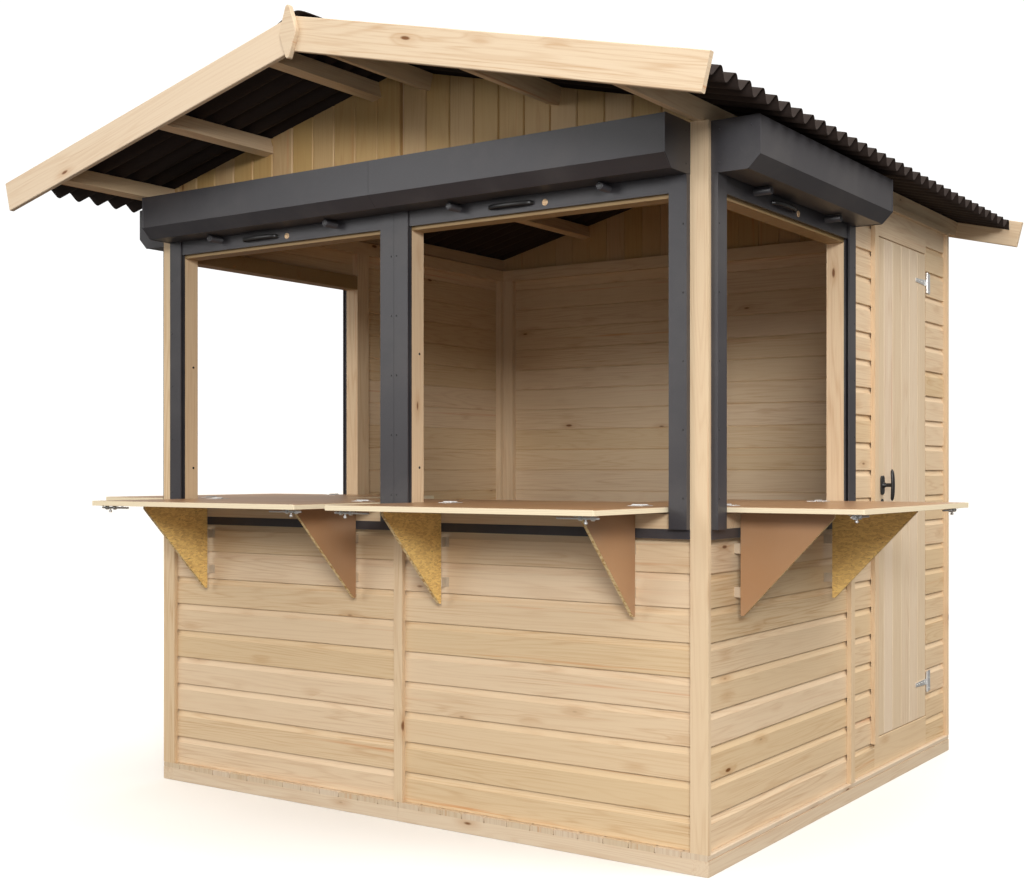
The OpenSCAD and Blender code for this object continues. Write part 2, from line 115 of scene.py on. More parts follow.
class STALL_PG_colours(bpy.types.PropertyGroup):
    spruce: colour("Spruce", "Pale ground of the boards", (0.74, 0.562, 0.362))
    planed: colour("Planed timber", "Paler ground of bearers and door", (0.75, 0.60, 0.43))
    # Painted shade: the gable ground is darker and more saturated than the spruce, standing for the
    # shade under the roof's overhang and warm light bounced between the boards.
    gable: colour("Gable boards", "Warmer ground of the boards under the roof", (0.60, 0.40, 0.185))
    spruce_band: colour("Spruce band", "Darker bands of the grain", (0.46, 0.235, 0.090))
    knot: colour("Knot", "Knots in the boards", (0.20, 0.085, 0.030))
    anthracite: colour("Anthracite", "Painted metal", (0.036, 0.034, 0.040))
    film: colour("Film", "Film on the counter boards", (0.42, 0.228, 0.112))
    ply: colour("Plywood edge", "Edge of the counter boards", (0.88, 0.76, 0.54))
    flake: colour("Flake", "Strand board flakes", (0.98, 0.62, 0.22))
    bitumen: colour("Roof sheet", "Corrugated roof sheet", (0.018, 0.011, 0.009))
    zinc: colour("Zinc", "Plated fittings", (0.74, 0.74, 0.73))
    brass: colour("Brass", "Lock rings", (0.80, 0.56, 0.34))


def sizes():
    """The sizes in the scene."""
    return bpy.context.scene.stall_sizes


def colours():
    """The colours in the scene."""
    return bpy.context.scene.stall_colours


# ------------------------------------------------------------------ surfaces
class Shape:
    """One piece in the making: its closed parts with their grain lengths, tones and finishes."""

    def __init__(self, seed=0):
        self.points, self.faces, self.uvs = [], [], []
        self.tones, self.finishes, self.smooth = [], [], []
        self.count = 0
        self.draw = np.random.default_rng(seed)

    def _add(self, pts, quads, uv, caps, cap_uv, tone, finish, smooth):
        """Adds a closed part. Its faces are turned outwards: the part's volume, a sixth of the
        sum over its triangles of a . (b x c), has to be positive."""
        a, b, c, d = (pts[quads[:, k]] for k in range(4))
        vol = np.einsum("ij,ij->", a, np.cross(b, c)) + np.einsum("ij,ij->", a, np.cross(c, d))
        for cap in caps:
            p = pts[cap]
            vol += np.einsum("ij,ij->", np.repeat(p[:1], len(p) - 2, 0), np.cross(p[1:-1], p[2:]))
        if vol < 0:
            quads, uv = quads[:, ::-1], uv[:, ::-1]
            caps, cap_uv = [c_[::-1] for c_ in caps], [c_[::-1] for c_ in cap_uv]
        self.points.append(pts)
        self.faces += (quads + self.count).tolist() + [(c_ + self.count).tolist() for c_ in caps]
        self.uvs.append(uv.reshape(-1, 2))
        self.uvs += cap_uv
        self.tones.append(np.full(len(pts), tone))
        self.finishes += [finish] * (len(quads) + len(caps))
        self.smooth += [smooth] * len(quads) + [False] * len(caps)
        self.count += len(pts)

    def sweep(self, rings, tone=None, finish=0, smooth=False):
        """A closed profile carried along a path. rings[i, j] is profile point j at station i:
        side (i, j) spans stations i, i+1 and points j, j+1, and both ends are capped. The grain
        runs with the path, and its second coordinate is the length round the profile."""
        rings = np.asarray(rings, float)
        m, n = rings.shape[:2]
        tone = self.draw.random() if tone is None else tone
        start = self.draw.random() * 40
        pts = rings.reshape(-1, 3)
        i, j = np.meshgrid(np.arange(m - 1), np.arange(n), indexing="ij")
        k = (j + 1) % n
        quads = np.stack([i * n + j, (i + 1) * n + j, (i + 1) * n + k, i * n + k], -1)
        step = np.linalg.norm(np.roll(rings[0], -1, 0) - rings[0], axis=1)
        across = np.concatenate([[0], np.cumsum(step)])
        walk = np.linalg.norm(np.diff(rings.mean(1), axis=0), axis=1)
        along = start + np.concatenate([[0], np.cumsum(walk)])
        uv = np.stack([np.stack([along[i], across[j]], -1), np.stack([along[i + 1], across[j]], -1),
                       np.stack([along[i + 1], across[j + 1]], -1),
                       np.stack([along[i], across[j + 1]], -1)], 2).reshape(-1, 4, 2)
        wide = np.argsort(np.ptp(rings[0], axis=0))[1:]
        ends = [np.arange(n)[::-1], (m - 1) * n + np.arange(n)]
        cap_uv = [pts[e][:, wide] + start for e in ends]
        self._add(pts, quads.reshape(-1, 4), uv, ends, cap_uv, tone, finish, smooth)

    def sheet(self, top, bottom, tone):
        """A surface with thickness: top[i, j] and bottom[i, j] over the same two parameters,
        joined round their four borders."""
        m, n = top.shape[:2]
        pts = np.concatenate([top.reshape(-1, 3), bottom.reshape(-1, 3)])
        i, j = np.meshgrid(np.arange(m - 1), np.arange(n - 1), indexing="ij")
        q = np.stack([i * n + j, (i + 1) * n + j, (i + 1) * n + j + 1, i * n + j + 1], -1)
        q = q.reshape(-1, 4)
        rim = np.concatenate([np.arange(n), np.arange(1, m) * n + n - 1,
                              (m - 1) * n + np.arange(n - 2, -1, -1), np.arange(m - 2, 0, -1) * n])
        nxt = np.roll(rim, -1)
        side = np.stack([rim, nxt, nxt + m * n, rim + m * n], -1)
        quads = np.concatenate([q, q[:, ::-1] + m * n, side])
        u = np.linalg.norm(top - top[:1], axis=2).reshape(-1)
        v = np.linalg.norm(top - top[:, :1], axis=2).reshape(-1)
        flat = np.stack([u, v], -1)
        uv = np.concatenate([flat, flat])[quads]
        self._add(pts, quads, uv, [], [], tone, 0, True)

    def board(self, low, high, along, tone=None, arris=None):
        """A straight board from low to high: a rectangle with bevelled corners, carried along
        the axis numbered by along."""
        low, high = np.minimum(low, high), np.maximum(low, high)
        a = sizes().arris if arris is None else arris
        u, v = [k for k in range(3) if k != along]
        (u0, u1), (v0, v1) = (low[u], high[u]), (low[v], high[v])
        ring = np.array([[u0 + a, v0], [u1 - a, v0], [u1, v0 + a], [u1, v1 - a],
                         [u1 - a, v1], [u0 + a, v1], [u0, v1 - a], [u0, v0 + a]])
        rings = np.zeros((2, 8, 3))
        rings[:, :, u], rings[:, :, v] = ring[:, 0], ring[:, 1]
        rings[0, :, along], rings[1, :, along] = low[along], high[along]
        self.sweep(rings, tone)

    def plate(self, outline, base, out, thickness, arris=0.001, finish=(0, 0, 0), tone=None):
        """A flat outline carried through its thickness along the unit vector out. The first and
        last rings are drawn in towards the outline's middle by the arris. finish names the
        first face, the rim and the last face."""
        outline, out = np.asarray(outline, float), np.asarray(out, float)
        mid = outline.mean(0)
        reach = np.linalg.norm(outline - mid, axis=1, keepdims=True)
        drawn = mid + (outline - mid) * (1 - arris / np.maximum(reach, 1e-6))
        levels = [0, arris, thickness - arris, thickness]
        loops = [drawn, outline, outline, drawn]
        rings = np.stack([np.asarray(base) + l + out * h for l, h in zip(loops, levels)])
        self.sweep(rings, tone, finish[1])
        self.finishes[-2:] = [finish[0], finish[2]]

    def turned(self, centre, axis, radii, heights, sides=20, finish=0):
        """A turned shape: the radius at each height, carried round the axis as a circle."""
        axis = np.asarray(axis, float)
        other = np.array([0, 0, 1.0]) if abs(axis[2]) < 0.9 else np.array([1.0, 0, 0])
        e1 = np.cross(axis, other)
        e1 /= np.linalg.norm(e1)
        e2 = np.cross(axis, e1)
        t = np.arange(sides) * 2 * math.pi / sides
        circle = np.cos(t)[:, None] * e1 + np.sin(t)[:, None] * e2
        rings = (np.asarray(centre) + np.asarray(heights)[:, None, None] * axis
                 + np.asarray(radii)[:, None, None] * circle)
        self.sweep(rings, 0.5, finish, smooth=True)

    def screws(self, spots, axis, radius=None):
        """Domed screw heads: a quarter ellipse turned round each spot's axis."""
        r = radius or sizes().screw
        for spot in spots:
            self.turned(spot, axis, [r, r, r * 0.72, r * 0.2], [-0.001, 0.0006, 0.0017, 0.0021], 8)

    def make(self, name, body, slot, materials, replaced=()):
        """Puts the collected parts into one mesh at the origin and hangs it on its body."""
        mesh = bpy.data.meshes.new(name)
        mesh.from_pydata(np.concatenate(self.points).tolist(), [], self.faces)
        layer = mesh.uv_layers.new(name="Grain")
        layer.data.foreach_set("uv", np.concatenate(self.uvs).astype("f").ravel())
        tone = mesh.attributes.new("tone", "FLOAT", "POINT")
        tone.data.foreach_set("value", np.concatenate(self.tones).astype("f"))
        mesh.polygons.foreach_set("material_index", np.array(self.finishes, "i"))
        mesh.polygons.foreach_set("use_smooth", np.array(self.smooth, bool))
        for material in materials:
            mesh.materials.append(material)
        mesh.update()
        if mesh.validate():
            raise RuntimeError(f"{name} had faces that were not valid")
        piece = bpy.data.objects.new(name, mesh)
        bpy.context.collection.objects.link(piece)
        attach(piece, body)
        if replaced:
            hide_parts(*replaced)
        return piece


def box(node):
    """Low and high corner of a node of the frame."""
    low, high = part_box(node)
    return np.array(low), np.array(high)


# ------------------------------------------------------------------ shader groups
class Net:
    """Short hands for laying out one node tree."""

    def __init__(self, tree):
        self.tree = tree

    def node(self, kind, **values):
        n = self.tree.nodes.new(kind)
        for key, value in values.items():
            setattr(n, key, value)
        return n

    def link(self, source, target):
        self.tree.links.new(source, target)
        return source

    def set(self, socket, value):
        if isinstance(value, bpy.types.NodeSocket):
            self.link(value, socket)
        else:
            socket.default_value = value

    def math(self, operation, a, b=0.5, c=None, clamp=False):
        n = self.node("ShaderNodeMath", operation=operation, use_clamp=clamp)
        for index, value in enumerate((a, b) if c is None else (a, b, c)):
            self.set(n.inputs[index], value)
        return n.outputs[0]

    def mix(self, factor, a, b, blend="MIX"):
        n = self.node("ShaderNodeMix", data_type="RGBA", blend_type=blend)
        for index, value in ((0, factor), (6, a), (7, b)):
            self.set(n.inputs[index], value)
        return n.outputs[2]

    def ramp(self, value, low, high, start=0.0, end=1.0):
        n = self.node("ShaderNodeMapRange", interpolation_type="SMOOTHSTEP")
        for socket, v in zip(n.inputs, (value, low, high, start, end)):
            self.set(socket, v)
        return n.outputs[0]

    def scaled(self, vector, by):
        n = self.node("ShaderNodeVectorMath", operation="MULTIPLY")
        self.set(n.inputs[0], vector)
        self.set(n.inputs[1], by)
        return n.outputs[0]

    def shifted(self, vector, by):
        n = self.node("ShaderNodeVectorMath", operation="ADD")
        self.set(n.inputs[0], vector)
        self.set(n.inputs[1], by)
        return n.outputs[0]

    def noise(self, vector, scale, detail=4.0, roughness=0.55, distortion=0.0):
        n = self.node("ShaderNodeTexNoise")
        for key, value in (("Vector", vector), ("Scale", scale), ("Detail", detail),
                           ("Roughness", roughness), ("Distortion", distortion)):
            self.set(n.inputs[key], value)
        return n.outputs["Fac"]

    def cells(self, vector):
        n = self.node("ShaderNodeTexVoronoi")
        self.set(n.inputs["Vector"], vector)
        self.set(n.inputs["Scale"], 1.0)
        return n.outputs["Distance"], n.outputs["Color"]

    def place(self):
        return self.node("ShaderNodeTexCoord").outputs["Object"]


def group(name, inputs, outputs):
    """An empty shader group with named sockets, and the handles to fill it."""
    tree = bpy.data.node_groups.new(name, "ShaderNodeTree")
    for label, kind, value in inputs:
        socket = tree.interface.new_socket(label, in_out="INPUT", socket_type=kind)
        if value is not None:
            socket.default_value = value
    for label, kind in outputs:
        tree.interface.new_socket(label, in_out="OUTPUT", socket_type=kind)
    net = Net(tree)
    return net, net.node("NodeGroupInput").outputs, net.node("NodeGroupOutput").inputs


FLOAT, COLOUR, VECTOR = "NodeSocketFloat", "NodeSocketColor", "NodeSocketVector"


def spruce_group():
    """Planed spruce: grain runs along x of Vector. Contour bands are the sine of a slow noise,
    fine lines are a noise drawn out along the grain, and knots are the cores of a few cells."""
    net, i, o = group(
        "Spruce grain",
        [("Vector", VECTOR, None), ("Tone", FLOAT, 0.5), ("Ground", COLOUR, (0.8, 0.6, 0.4, 1)),
         ("Band", COLOUR, (0.6, 0.4, 0.2, 1)), ("Knot", COLOUR, (0.2, 0.1, 0.04, 1)),
         ("Knots", FLOAT, 0.5)],
        [("Color", COLOUR), ("Roughness", FLOAT), ("Height", FLOAT)])
    spot, seed = net.cells(net.scaled(i["Vector"], (3.4, 10.5, 10.5)))
    pick = net.node("ShaderNodeSeparateColor")
    net.link(seed, pick.inputs[0])
    chosen = net.math("LESS_THAN", pick.outputs[0], i["Knots"])
    core = net.math("MULTIPLY", net.ramp(spot, 0.085, 0.040), chosen)
    halo = net.math("MULTIPLY", net.ramp(spot, 0.30, 0.05), chosen)
    slow = net.noise(net.scaled(i["Vector"], (0.62, 13.0, 13.0)), 1.0, 2.0, 0.4)
    bent = net.math("ADD", net.math("MULTIPLY", slow, 96.0), net.math("MULTIPLY", halo, 5.0))
    bands = net.math("MULTIPLY_ADD", net.math("SINE", bent), 0.5, 0.5)
    bands = net.math("POWER", bands, 3.4)
    fine = net.noise(net.scaled(i["Vector"], (5.0, 260.0, 260.0)), 1.0, 3.0, 0.6)
    wide = net.noise(net.scaled(i["Vector"], (0.8, 5.0, 5.0)), 1.0, 3.0, 0.6)
    shade = net.math("ADD", net.math("MULTIPLY", bands, 0.34),
                     net.math("MULTIPLY", net.ramp(fine, 0.46, 0.74), 0.42))
    shade = net.math("MULTIPLY", shade, net.ramp(wide, 0.34, 0.72, 0.22, 0.90), clamp=True)
    wood = net.mix(shade, i["Ground"], i["Band"])
    streak = net.noise(net.scaled(i["Vector"], (0.5, 30.0, 30.0)), 1.0, 2.0, 0.5)
    streak = net.ramp(streak, 0.62, 0.76)
    lines = net.noise(net.scaled(i["Vector"], (3.0, 170.0, 170.0)), 1.0, 2.0, 0.5)
    lines = net.ramp(lines, 0.42, 0.62)
    wood = net.mix(net.math("MULTIPLY", net.math("MULTIPLY", streak, lines), 0.62), wood,
                   (0.60, 0.25, 0.095, 1))
    wood = net.mix(net.math("MULTIPLY", halo, 0.34), wood, i["Band"])
    wood = net.mix(core, wood, i["Knot"])
    tint = net.node("ShaderNodeHueSaturation")
    net.link(net.ramp(i["Tone"], 0.0, 1.0, 0.4985, 0.5012), tint.inputs["Hue"])
    net.link(net.ramp(i["Tone"], 0.0, 1.0, 0.94, 1.08), tint.inputs["Saturation"])
    net.link(net.math("MULTIPLY_ADD", i["Tone"], -0.10, 1.05), tint.inputs["Value"])
    net.link(wood, tint.inputs["Color"])
    net.link(tint.outputs[0], o["Color"])
    net.link(net.math("MULTIPLY_ADD", shade, 0.14, 0.50), o["Roughness"])
    net.link(net.math("ADD", net.math("MULTIPLY", fine, 0.5), net.math("MULTIPLY", core, -0.5)),
             o["Height"])
    return net.tree


def handled_group():
    """Handling marks and settled dust: a broad noise for cloudiness and a fine one for specks."""
    net, i, o = group(
        "Handled surface",
        [("Vector", VECTOR, None), ("Color", COLOUR, (0.5, 0.5, 0.5, 1)),
         ("Dust", COLOUR, (0.5, 0.46, 0.4, 1)), ("Amount", FLOAT, 0.1), ("Roughness", FLOAT, 0.4),
         ("Spread", FLOAT, 0.1)],
        [("Color", COLOUR), ("Roughness", FLOAT), ("Height", FLOAT)])
    cloud = net.noise(i["Vector"], 3.2, 5.0, 0.6, 0.4)
    speck = net.noise(i["Vector"], 520.0, 2.0, 0.6)
    mask = net.math("MULTIPLY", net.ramp(cloud, 0.38, 0.80), i["Amount"])
    dusty = net.mix(mask, i["Color"], i["Dust"])
    dusty = net.mix(net.math("MULTIPLY", net.ramp(speck, 0.55, 0.8), i["Amount"]), dusty, i["Dust"])
    net.link(dusty, o["Color"])
    net.link(net.math("MULTIPLY_ADD", net.math("SUBTRACT", cloud, 0.5), i["Spread"], i["Roughness"]),
             o["Roughness"])
    net.link(speck, o["Height"])
    return net.tree


GROUPS, MATERIALS = {}, {}


def use(net, tree, **inputs):
    """Places a shader group with its own values, and gives its outputs."""
    n = net.node("ShaderNodeGroup", node_tree=tree)
    for key, value in inputs.items():
        net.set(n.inputs[key], value)
    return n.outputs


def principled(name, metallic=0.0, specular=0.5):
    """A material with a plain shader, and the net to feed it."""
    m = bpy.data.materials.new(name)
    m.use_nodes = True
    net = Net(m.node_tree)
    shader = m.node_tree.nodes["Principled BSDF"]
    shader.inputs["Metallic"].default_value = metallic
    shader.inputs["Specular IOR Level"].default_value = specular
    MATERIALS[name] = m
    return net, shader.inputs


def bump(net, height, strength, distance):
    """A normal bent by a height, whose full swing stands for the distance in metres."""
    n = net.node("ShaderNodeBump")
    n.inputs["Strength"].default_value = strength
    n.inputs["Distance"].default_value = distance
    net.link(height, n.inputs["Height"])
    return n.outputs[0]


def rgba(c, by=1.0):
    """A colour with its alpha, made paler or darker by a factor."""
    return tuple(min(1.0, v * by) for v in c) + (1.0,)


def wood_material(name, ground, axis=None, darker=1.0, knots=0.5):
    """Spruce that follows a board's own grain map and tone, or, with an axis given, one that
    runs along that axis of the object, with a tone from where the timber stands."""
    c = colours()
    net, s = principled(name, specular=0.35)
    if axis is None:
        grain = net.node("ShaderNodeUVMap", uv_map="Grain").outputs[0]
        tone = net.node("ShaderNodeAttribute", attribute_name="tone").outputs["Fac"]
        lift = net.node("ShaderNodeCombineXYZ")
        net.link(net.math("MULTIPLY", tone, 37.0), lift.inputs[2])
        vector = net.shifted(grain, lift.outputs[0])
    else:
        turned = net.node("ShaderNodeMapping")
        turned.inputs["Rotation"].default_value = {
            "X": (0, 0, 0), "Y": (0, 0, math.radians(-90)), "Z": (0, math.radians(90), 0)}[axis]
        net.link(net.place(), turned.inputs["Vector"])
        vector = turned.outputs[0]
        tone = net.noise(net.scaled(vector, (0.05, 2.3, 2.3)), 1.0, 0.0)
    out = use(net, GROUPS["spruce"], Vector=vector, Tone=tone, Ground=rgba(ground, darker),
              Band=rgba(c.spruce_band, darker), Knot=rgba(c.knot), Knots=knots)
    net.link(out["Color"], s["Base Color"])
    net.link(out["Roughness"], s["Roughness"])
    net.link(bump(net, out["Height"], 0.22, 0.0008), s["Normal"])


def coated_material(name, base, rough, metallic=0.0, dust=0.05, grain=0.05, specular=0.5):
    """Paint, plating, film or rubber with light handling marks."""
    net, s = principled(name, metallic, specular)
    out = use(net, GROUPS["handled"], Vector=net.place(), Color=rgba(base), Amount=dust,
              Roughness=rough, Spread=0.14)
    net.link(out["Color"], s["Base Color"])
    net.link(out["Roughness"], s["Roughness"])
    net.link(bump(net, out["Height"], grain, 0.0003), s["Normal"])


def ply_layers(net, place):
    """Edge of a seven-ply board: even bands through its thickness, broken up along them."""
    along = net.noise(net.scaled(place, (60.0, 60.0, 500.0)), 1.0, 3.0)
    up = net.node("ShaderNodeSeparateXYZ")
    net.link(place, up.inputs[0])
    wave = net.math("SINE", net.math("MULTIPLY", up.outputs[2], 2 * math.pi / 0.0052))
    dark = net.math("MULTIPLY", net.ramp(wave, 0.2, 0.9), 0.20)
    c = colours()
    pale = net.mix(net.math("MULTIPLY", along, 0.5), rgba(c.ply), rgba(c.ply, 0.8))
    return net.mix(dark, pale, (0.42, 0.25, 0.12, 1))


def film_material():
    """Film-faced plywood: film on the flat faces, and plies where the face looks sideways."""
    c = colours()
    net, s = principled("film_board", specular=0.45)
    coord = net.node("ShaderNodeTexCoord")
    out = use(net, GROUPS["handled"], Vector=coord.outputs["Object"], Color=rgba(c.film),
              Dust=(0.44, 0.30, 0.18, 1), Amount=0.16, Roughness=0.32, Spread=0.22)
    facing = net.node("ShaderNodeSeparateXYZ")
    net.link(coord.outputs["Normal"], facing.inputs[0])
    edge = net.math("LESS_THAN", net.math("ABSOLUTE", facing.outputs[2]), 0.6)
    net.link(net.mix(edge, out["Color"], ply_layers(net, coord.outputs["Object"])), s["Base Color"])
    net.link(net.math("MAXIMUM", out["Roughness"], net.math("MULTIPLY", edge, 0.7)), s["Roughness"])
    net.link(bump(net, out["Height"], 0.06, 0.0003), s["Normal"])


def strand_material():
    """Strand board: three layers of long cells laid at different turns. Each flake has its own
    shade, dark gaps show between some of them, and specks are the tail of a fine noise."""
    c = colours()
    net, s = principled("strand_board", specular=0.3)
    place = net.place()
    wander = net.node("ShaderNodeTexNoise")
    net.link(place, wander.inputs["Vector"])
    wander.inputs["Scale"].default_value = 14.0
    bent = net.shifted(place, net.scaled(wander.outputs["Color"], (0.03,) * 3))
    shade, height = None, None
    for turn, cut in ((0.15, 0.0), (0.9, 0.45), (-0.7, 0.62)):
        m = net.node("ShaderNodeMapping")
        m.inputs["Rotation"].default_value = (turn, turn, 0.25 * turn)
        m.inputs["Scale"].default_value = (60, 60, 190)
        net.link(bent, m.inputs["Vector"])
        distance, seed = net.cells(m.outputs[0])
        split = net.node("ShaderNodeSeparateColor")
        net.link(seed, split.inputs[0])
        on = net.math("GREATER_THAN", split.outputs[1], cut)
        value = split.outputs[0] if shade is None else net.math(
            "ADD", net.math("MULTIPLY", split.outputs[0], on),
            net.math("MULTIPLY", shade, net.math("SUBTRACT", 1.0, on)))
        shade, height = value, distance
    wood = net.mix(net.ramp(shade, 0.05, 0.95), rgba(c.flake, 0.80), rgba(c.flake, 1.12))
    speck = net.ramp(net.noise(net.scaled(bent, (62, 62, 165)), 1.0, 4.0, 0.75), 0.59, 0.67)
    net.link(net.mix(net.math("MULTIPLY", speck, 0.68), wood, (0.27, 0.10, 0.02, 1)), s["Base Color"])
    s["Roughness"].default_value = 0.58
    net.link(bump(net, height, 0.3, 0.001), s["Normal"])


def ply_material():
    """Bare plywood rim of the brackets, yellowish, with thin plies."""
    net, s = principled("ply_edge", specular=0.3)
    place = net.place()
    fine = net.noise(net.scaled(place, (90.0, 90.0, 90.0)), 1.0, 4.0)
    net.link(net.mix(net.ramp(fine, 0.40, 0.68), (0.90, 0.68, 0.36, 1), (0.50, 0.27, 0.085, 1)),
             s["Base Color"])
    s["Roughness"].default_value = 0.7
    net.link(bump(net, fine, 0.2, 0.0006), s["Normal"])


def sheet_material():
    """Fibrous bitumen sheet: matt and mottled, and a little paler where a sheet's tone is high."""
    net, s = principled("roof_sheet", specular=0.25)
    place = net.place()
    tone = net.node("ShaderNodeAttribute", attribute_name="tone").outputs["Fac"]
    fibre = net.noise(net.scaled(place, (70.0, 260.0, 260.0)), 1.0, 5.0, 0.65)
    broad = net.noise(place, 2.6, 5.0, 0.6)
    c = colours()
    base = net.mix(net.ramp(fibre, 0.35, 0.75), rgba(c.bitumen), rgba(c.bitumen, 1.8))
    cloud = net.math("MULTIPLY", net.ramp(broad, 0.40, 0.75), 0.28)
    base = net.mix(cloud, base, (0.055, 0.042, 0.036, 1))
    base = net.mix(net.math("MULTIPLY", tone, 0.30), base, (0.060, 0.046, 0.038, 1))
    net.link(base, s["Base Color"])
    net.link(net.ramp(fibre, 0.2, 0.8, 0.66, 0.86), s["Roughness"])
    net.link(bump(net, fibre, 0.45, 0.0012), s["Normal"])


def floor_material():
    """Plain pale floor with a faint cloudiness. It sends little light back up, as an outdoor
    ground does: only rays from the camera meet its full paleness."""
    net, s = principled("studio_floor", specular=0.0)
    place = net.place()
    pale = net.mix(net.noise(place, 0.8, 3.0), (0.93, 0.93, 0.925, 1), (0.96, 0.96, 0.955, 1))
    seen = net.node("ShaderNodeLightPath").outputs["Is Camera Ray"]
    net.link(net.mix(seen, (FLOOR_BOUNCE, FLOOR_BOUNCE, FLOOR_BOUNCE, 1), pale), s["Base Color"])
    s["Roughness"].default_value = 0.9


# ------------------------------------------------------------------ pieces
def lapped_wall(shape, axis, out, face, span, heights):
    """Lapped boards on one wall. A board is flat up to its cove, and there it falls back by
    lap * sin(t), with t from 0 to a quarter turn over the cove's height, so the foot of the
    next board stands out over it. The back has a small groove at every joint. axis is the
    wall's long axis, out the sign of its outer side, face the coordinates of its back and its
    outer plane."""
    s = sizes()
    back, front = face
    thick = abs(front - back)
    groove, sliver = s.groove, 0.004
    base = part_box("front_wall_siding")[0][2]
    first = int(math.floor((heights[0] - base) / s.board_cover + 1e-6))
    foot = base + first * s.board_cover
    while foot < heights[1] - sliver:
        lo, hi = max(foot, heights[0]), min(foot + s.board_cover, heights[1])
        if hi - lo > sliver:
            start = min(max(foot + s.board_cover - s.cove, lo + 0.003), hi - 0.001)
            z = np.concatenate([[lo, lo + 0.0007, lo + 0.0024], np.linspace(start, hi, 7),
                                [hi, hi - groove, lo + groove, lo]])
            turn = np.clip((z - (foot + s.board_cover - s.cove)) / s.cove, 0, 1) * math.pi / 2
            d = thick - s.lap_step * np.sin(turn)
            if lo == foot:
                d[:3] -= [0.0026, 0.0008, 0.0]
            d[-4:] = [groove, 0, 0, groove]
            ring = np.zeros((2, len(z), 3))
            ring[:, :, 1 - axis] = back + out * d
            ring[:, :, 2] = z
            ring[0, :, axis], ring[1, :, axis] = span
            shape.sweep(ring)
        foot += s.board_cover


def span_up(node_box):
    """Foot and head of a box."""
    return node_box[0][2], node_box[1][2]


def make_siding():
    """Lapped boards in the boxes of the frame's siding nodes, each worked out by lapped_wall.
    Over and under the door the boards are plain bevelled rectangles."""
    wood = [MATERIALS["siding_wood"]]
    front, door_gap = box("front_wall_siding"), box("right_wall_siding_over_and_under_door")
    lower, upper = box("side_wall_lower_siding"), box("side_wall_upper_siding")
    inner_x, outer_x = door_gap[0][0], door_gap[1][0]
    in_y, out_y = front[1][1], front[0][1]
    leaf = box("door_leaf")
    door_z = (leaf[0][2] - 0.005, leaf[1][2] + 0.005)

    shape = Shape(11)
    for sign in (-1, 1):
        span = (sign * 0.0004, sign * front[1][0])
        lapped_wall(shape, 0, -1, (in_y, out_y), span, span_up(front))
    shape.make("siding_front", "stall", "siding_wood", wood, ["front_wall_siding"])

    for seed, node, b in ((12, "side_wall_lower_siding", lower),
                          (13, "side_wall_upper_siding", upper)):
        shape = Shape(seed)
        for sign in (-1, 1):
            face = (sign * inner_x, sign * outer_x)
            lapped_wall(shape, 1, sign, face, (b[0][1], b[1][1]), span_up(b))
        shape.make(node.replace("_wall", "").replace("siding", "boards"), "stall", "siding_wood",
                   wood, [node])

    b = box("left_wall_rear_siding")
    shape = Shape(14)
    lapped_wall(shape, 1, -1, (-inner_x, -outer_x), (b[0][1], b[1][1]), span_up(b))
    shape.make("siding_left_rear", "stall", "siding_wood", wood, ["left_wall_rear_siding"])

    b = box("right_wall_siding_beside_door")
    shape = Shape(15)
    for y in ((b[0][1], door_gap[0][1]), (door_gap[1][1], b[1][1])):
        lapped_wall(shape, 1, 1, (inner_x, outer_x), y, span_up(b))
    shape.make("siding_beside_door", "stall", "siding_wood", wood,
               ["right_wall_siding_beside_door"])

    shape = Shape(16)
    ys = (door_gap[0][1], door_gap[1][1])
    for z0, z1 in ((door_gap[0][2], door_z[0]), (door_z[1], door_gap[1][2])):
        shape.board((inner_x, ys[0], z0), (outer_x, ys[1], z1), 1)
    shape.make("boards_over_and_under_door", "stall", "siding_wood", wood,
               ["right_wall_siding_over_and_under_door"])

    b = box("back_wall_siding")
    shape = Shape(17)
    for sign in (-1, 1):
        span = (sign * 0.0004, sign * b[1][0])
        lapped_wall(shape, 0, 1, (b[0][1], b[1][1]), span, span_up(b))
    shape.make("siding_back", "stall", "siding_wood", wood, ["back_wall_siding"])


def roof_line():
    """Slope and height of the plane under the roof sheets, z = ridge - slope * |x|."""
    gable = box("front_gable_boards")
    edge = box("gable_posts")
    slope = (gable[1][2] - edge[1][2]) / (edge[1][0] - RIDGE_GAP)
    return slope, gable[1][2] + slope * RIDGE_GAP


def make_gables():
    """Upright boards under the roof: a rectangle with its two outer edges bevelled, carried
    from the plate up to just under the roof, z = ridge - slope * |x|."""
    slope, ridge = roof_line()
    s = sizes()
    for seed, node in ((21, "front_gable_boards"), (22, "back_gable_boards")):
        low, high = box(node)
        shape = Shape(seed)
        edges = np.append(np.arange(RIDGE_GAP, high[0], s.upright_pitch), high[0])
        for sign in (-1, 1):
            for x0, x1 in zip(edges[:-1] + s.joint / 2, edges[1:] - s.joint / 2):
                if x1 - x0 < 0.006:
                    continue
                bevel = 0.004
                xs = np.array([x0, x0 + bevel, x1 - bevel, x1, x1, x0])
                outer = low[1] if node.startswith("front") else high[1]
                inner = high[1] if node.startswith("front") else low[1]
                turn = np.sign(inner - outer) * 0.0035
                ys = np.array([outer + turn, outer, outer, outer + turn, inner, inner])
                rings = np.zeros((2, 6, 3))
                rings[:, :, 0], rings[:, :, 1] = sign * xs, ys
                rings[0, :, 2], rings[1, :, 2] = low[2], ridge - slope * xs - 0.0005
                shape.sweep(rings)
        shape.make(node.replace("_boards", "_uprights"), "stall", "gable_wood",
                   [MATERIALS["gable_wood"]], [node])


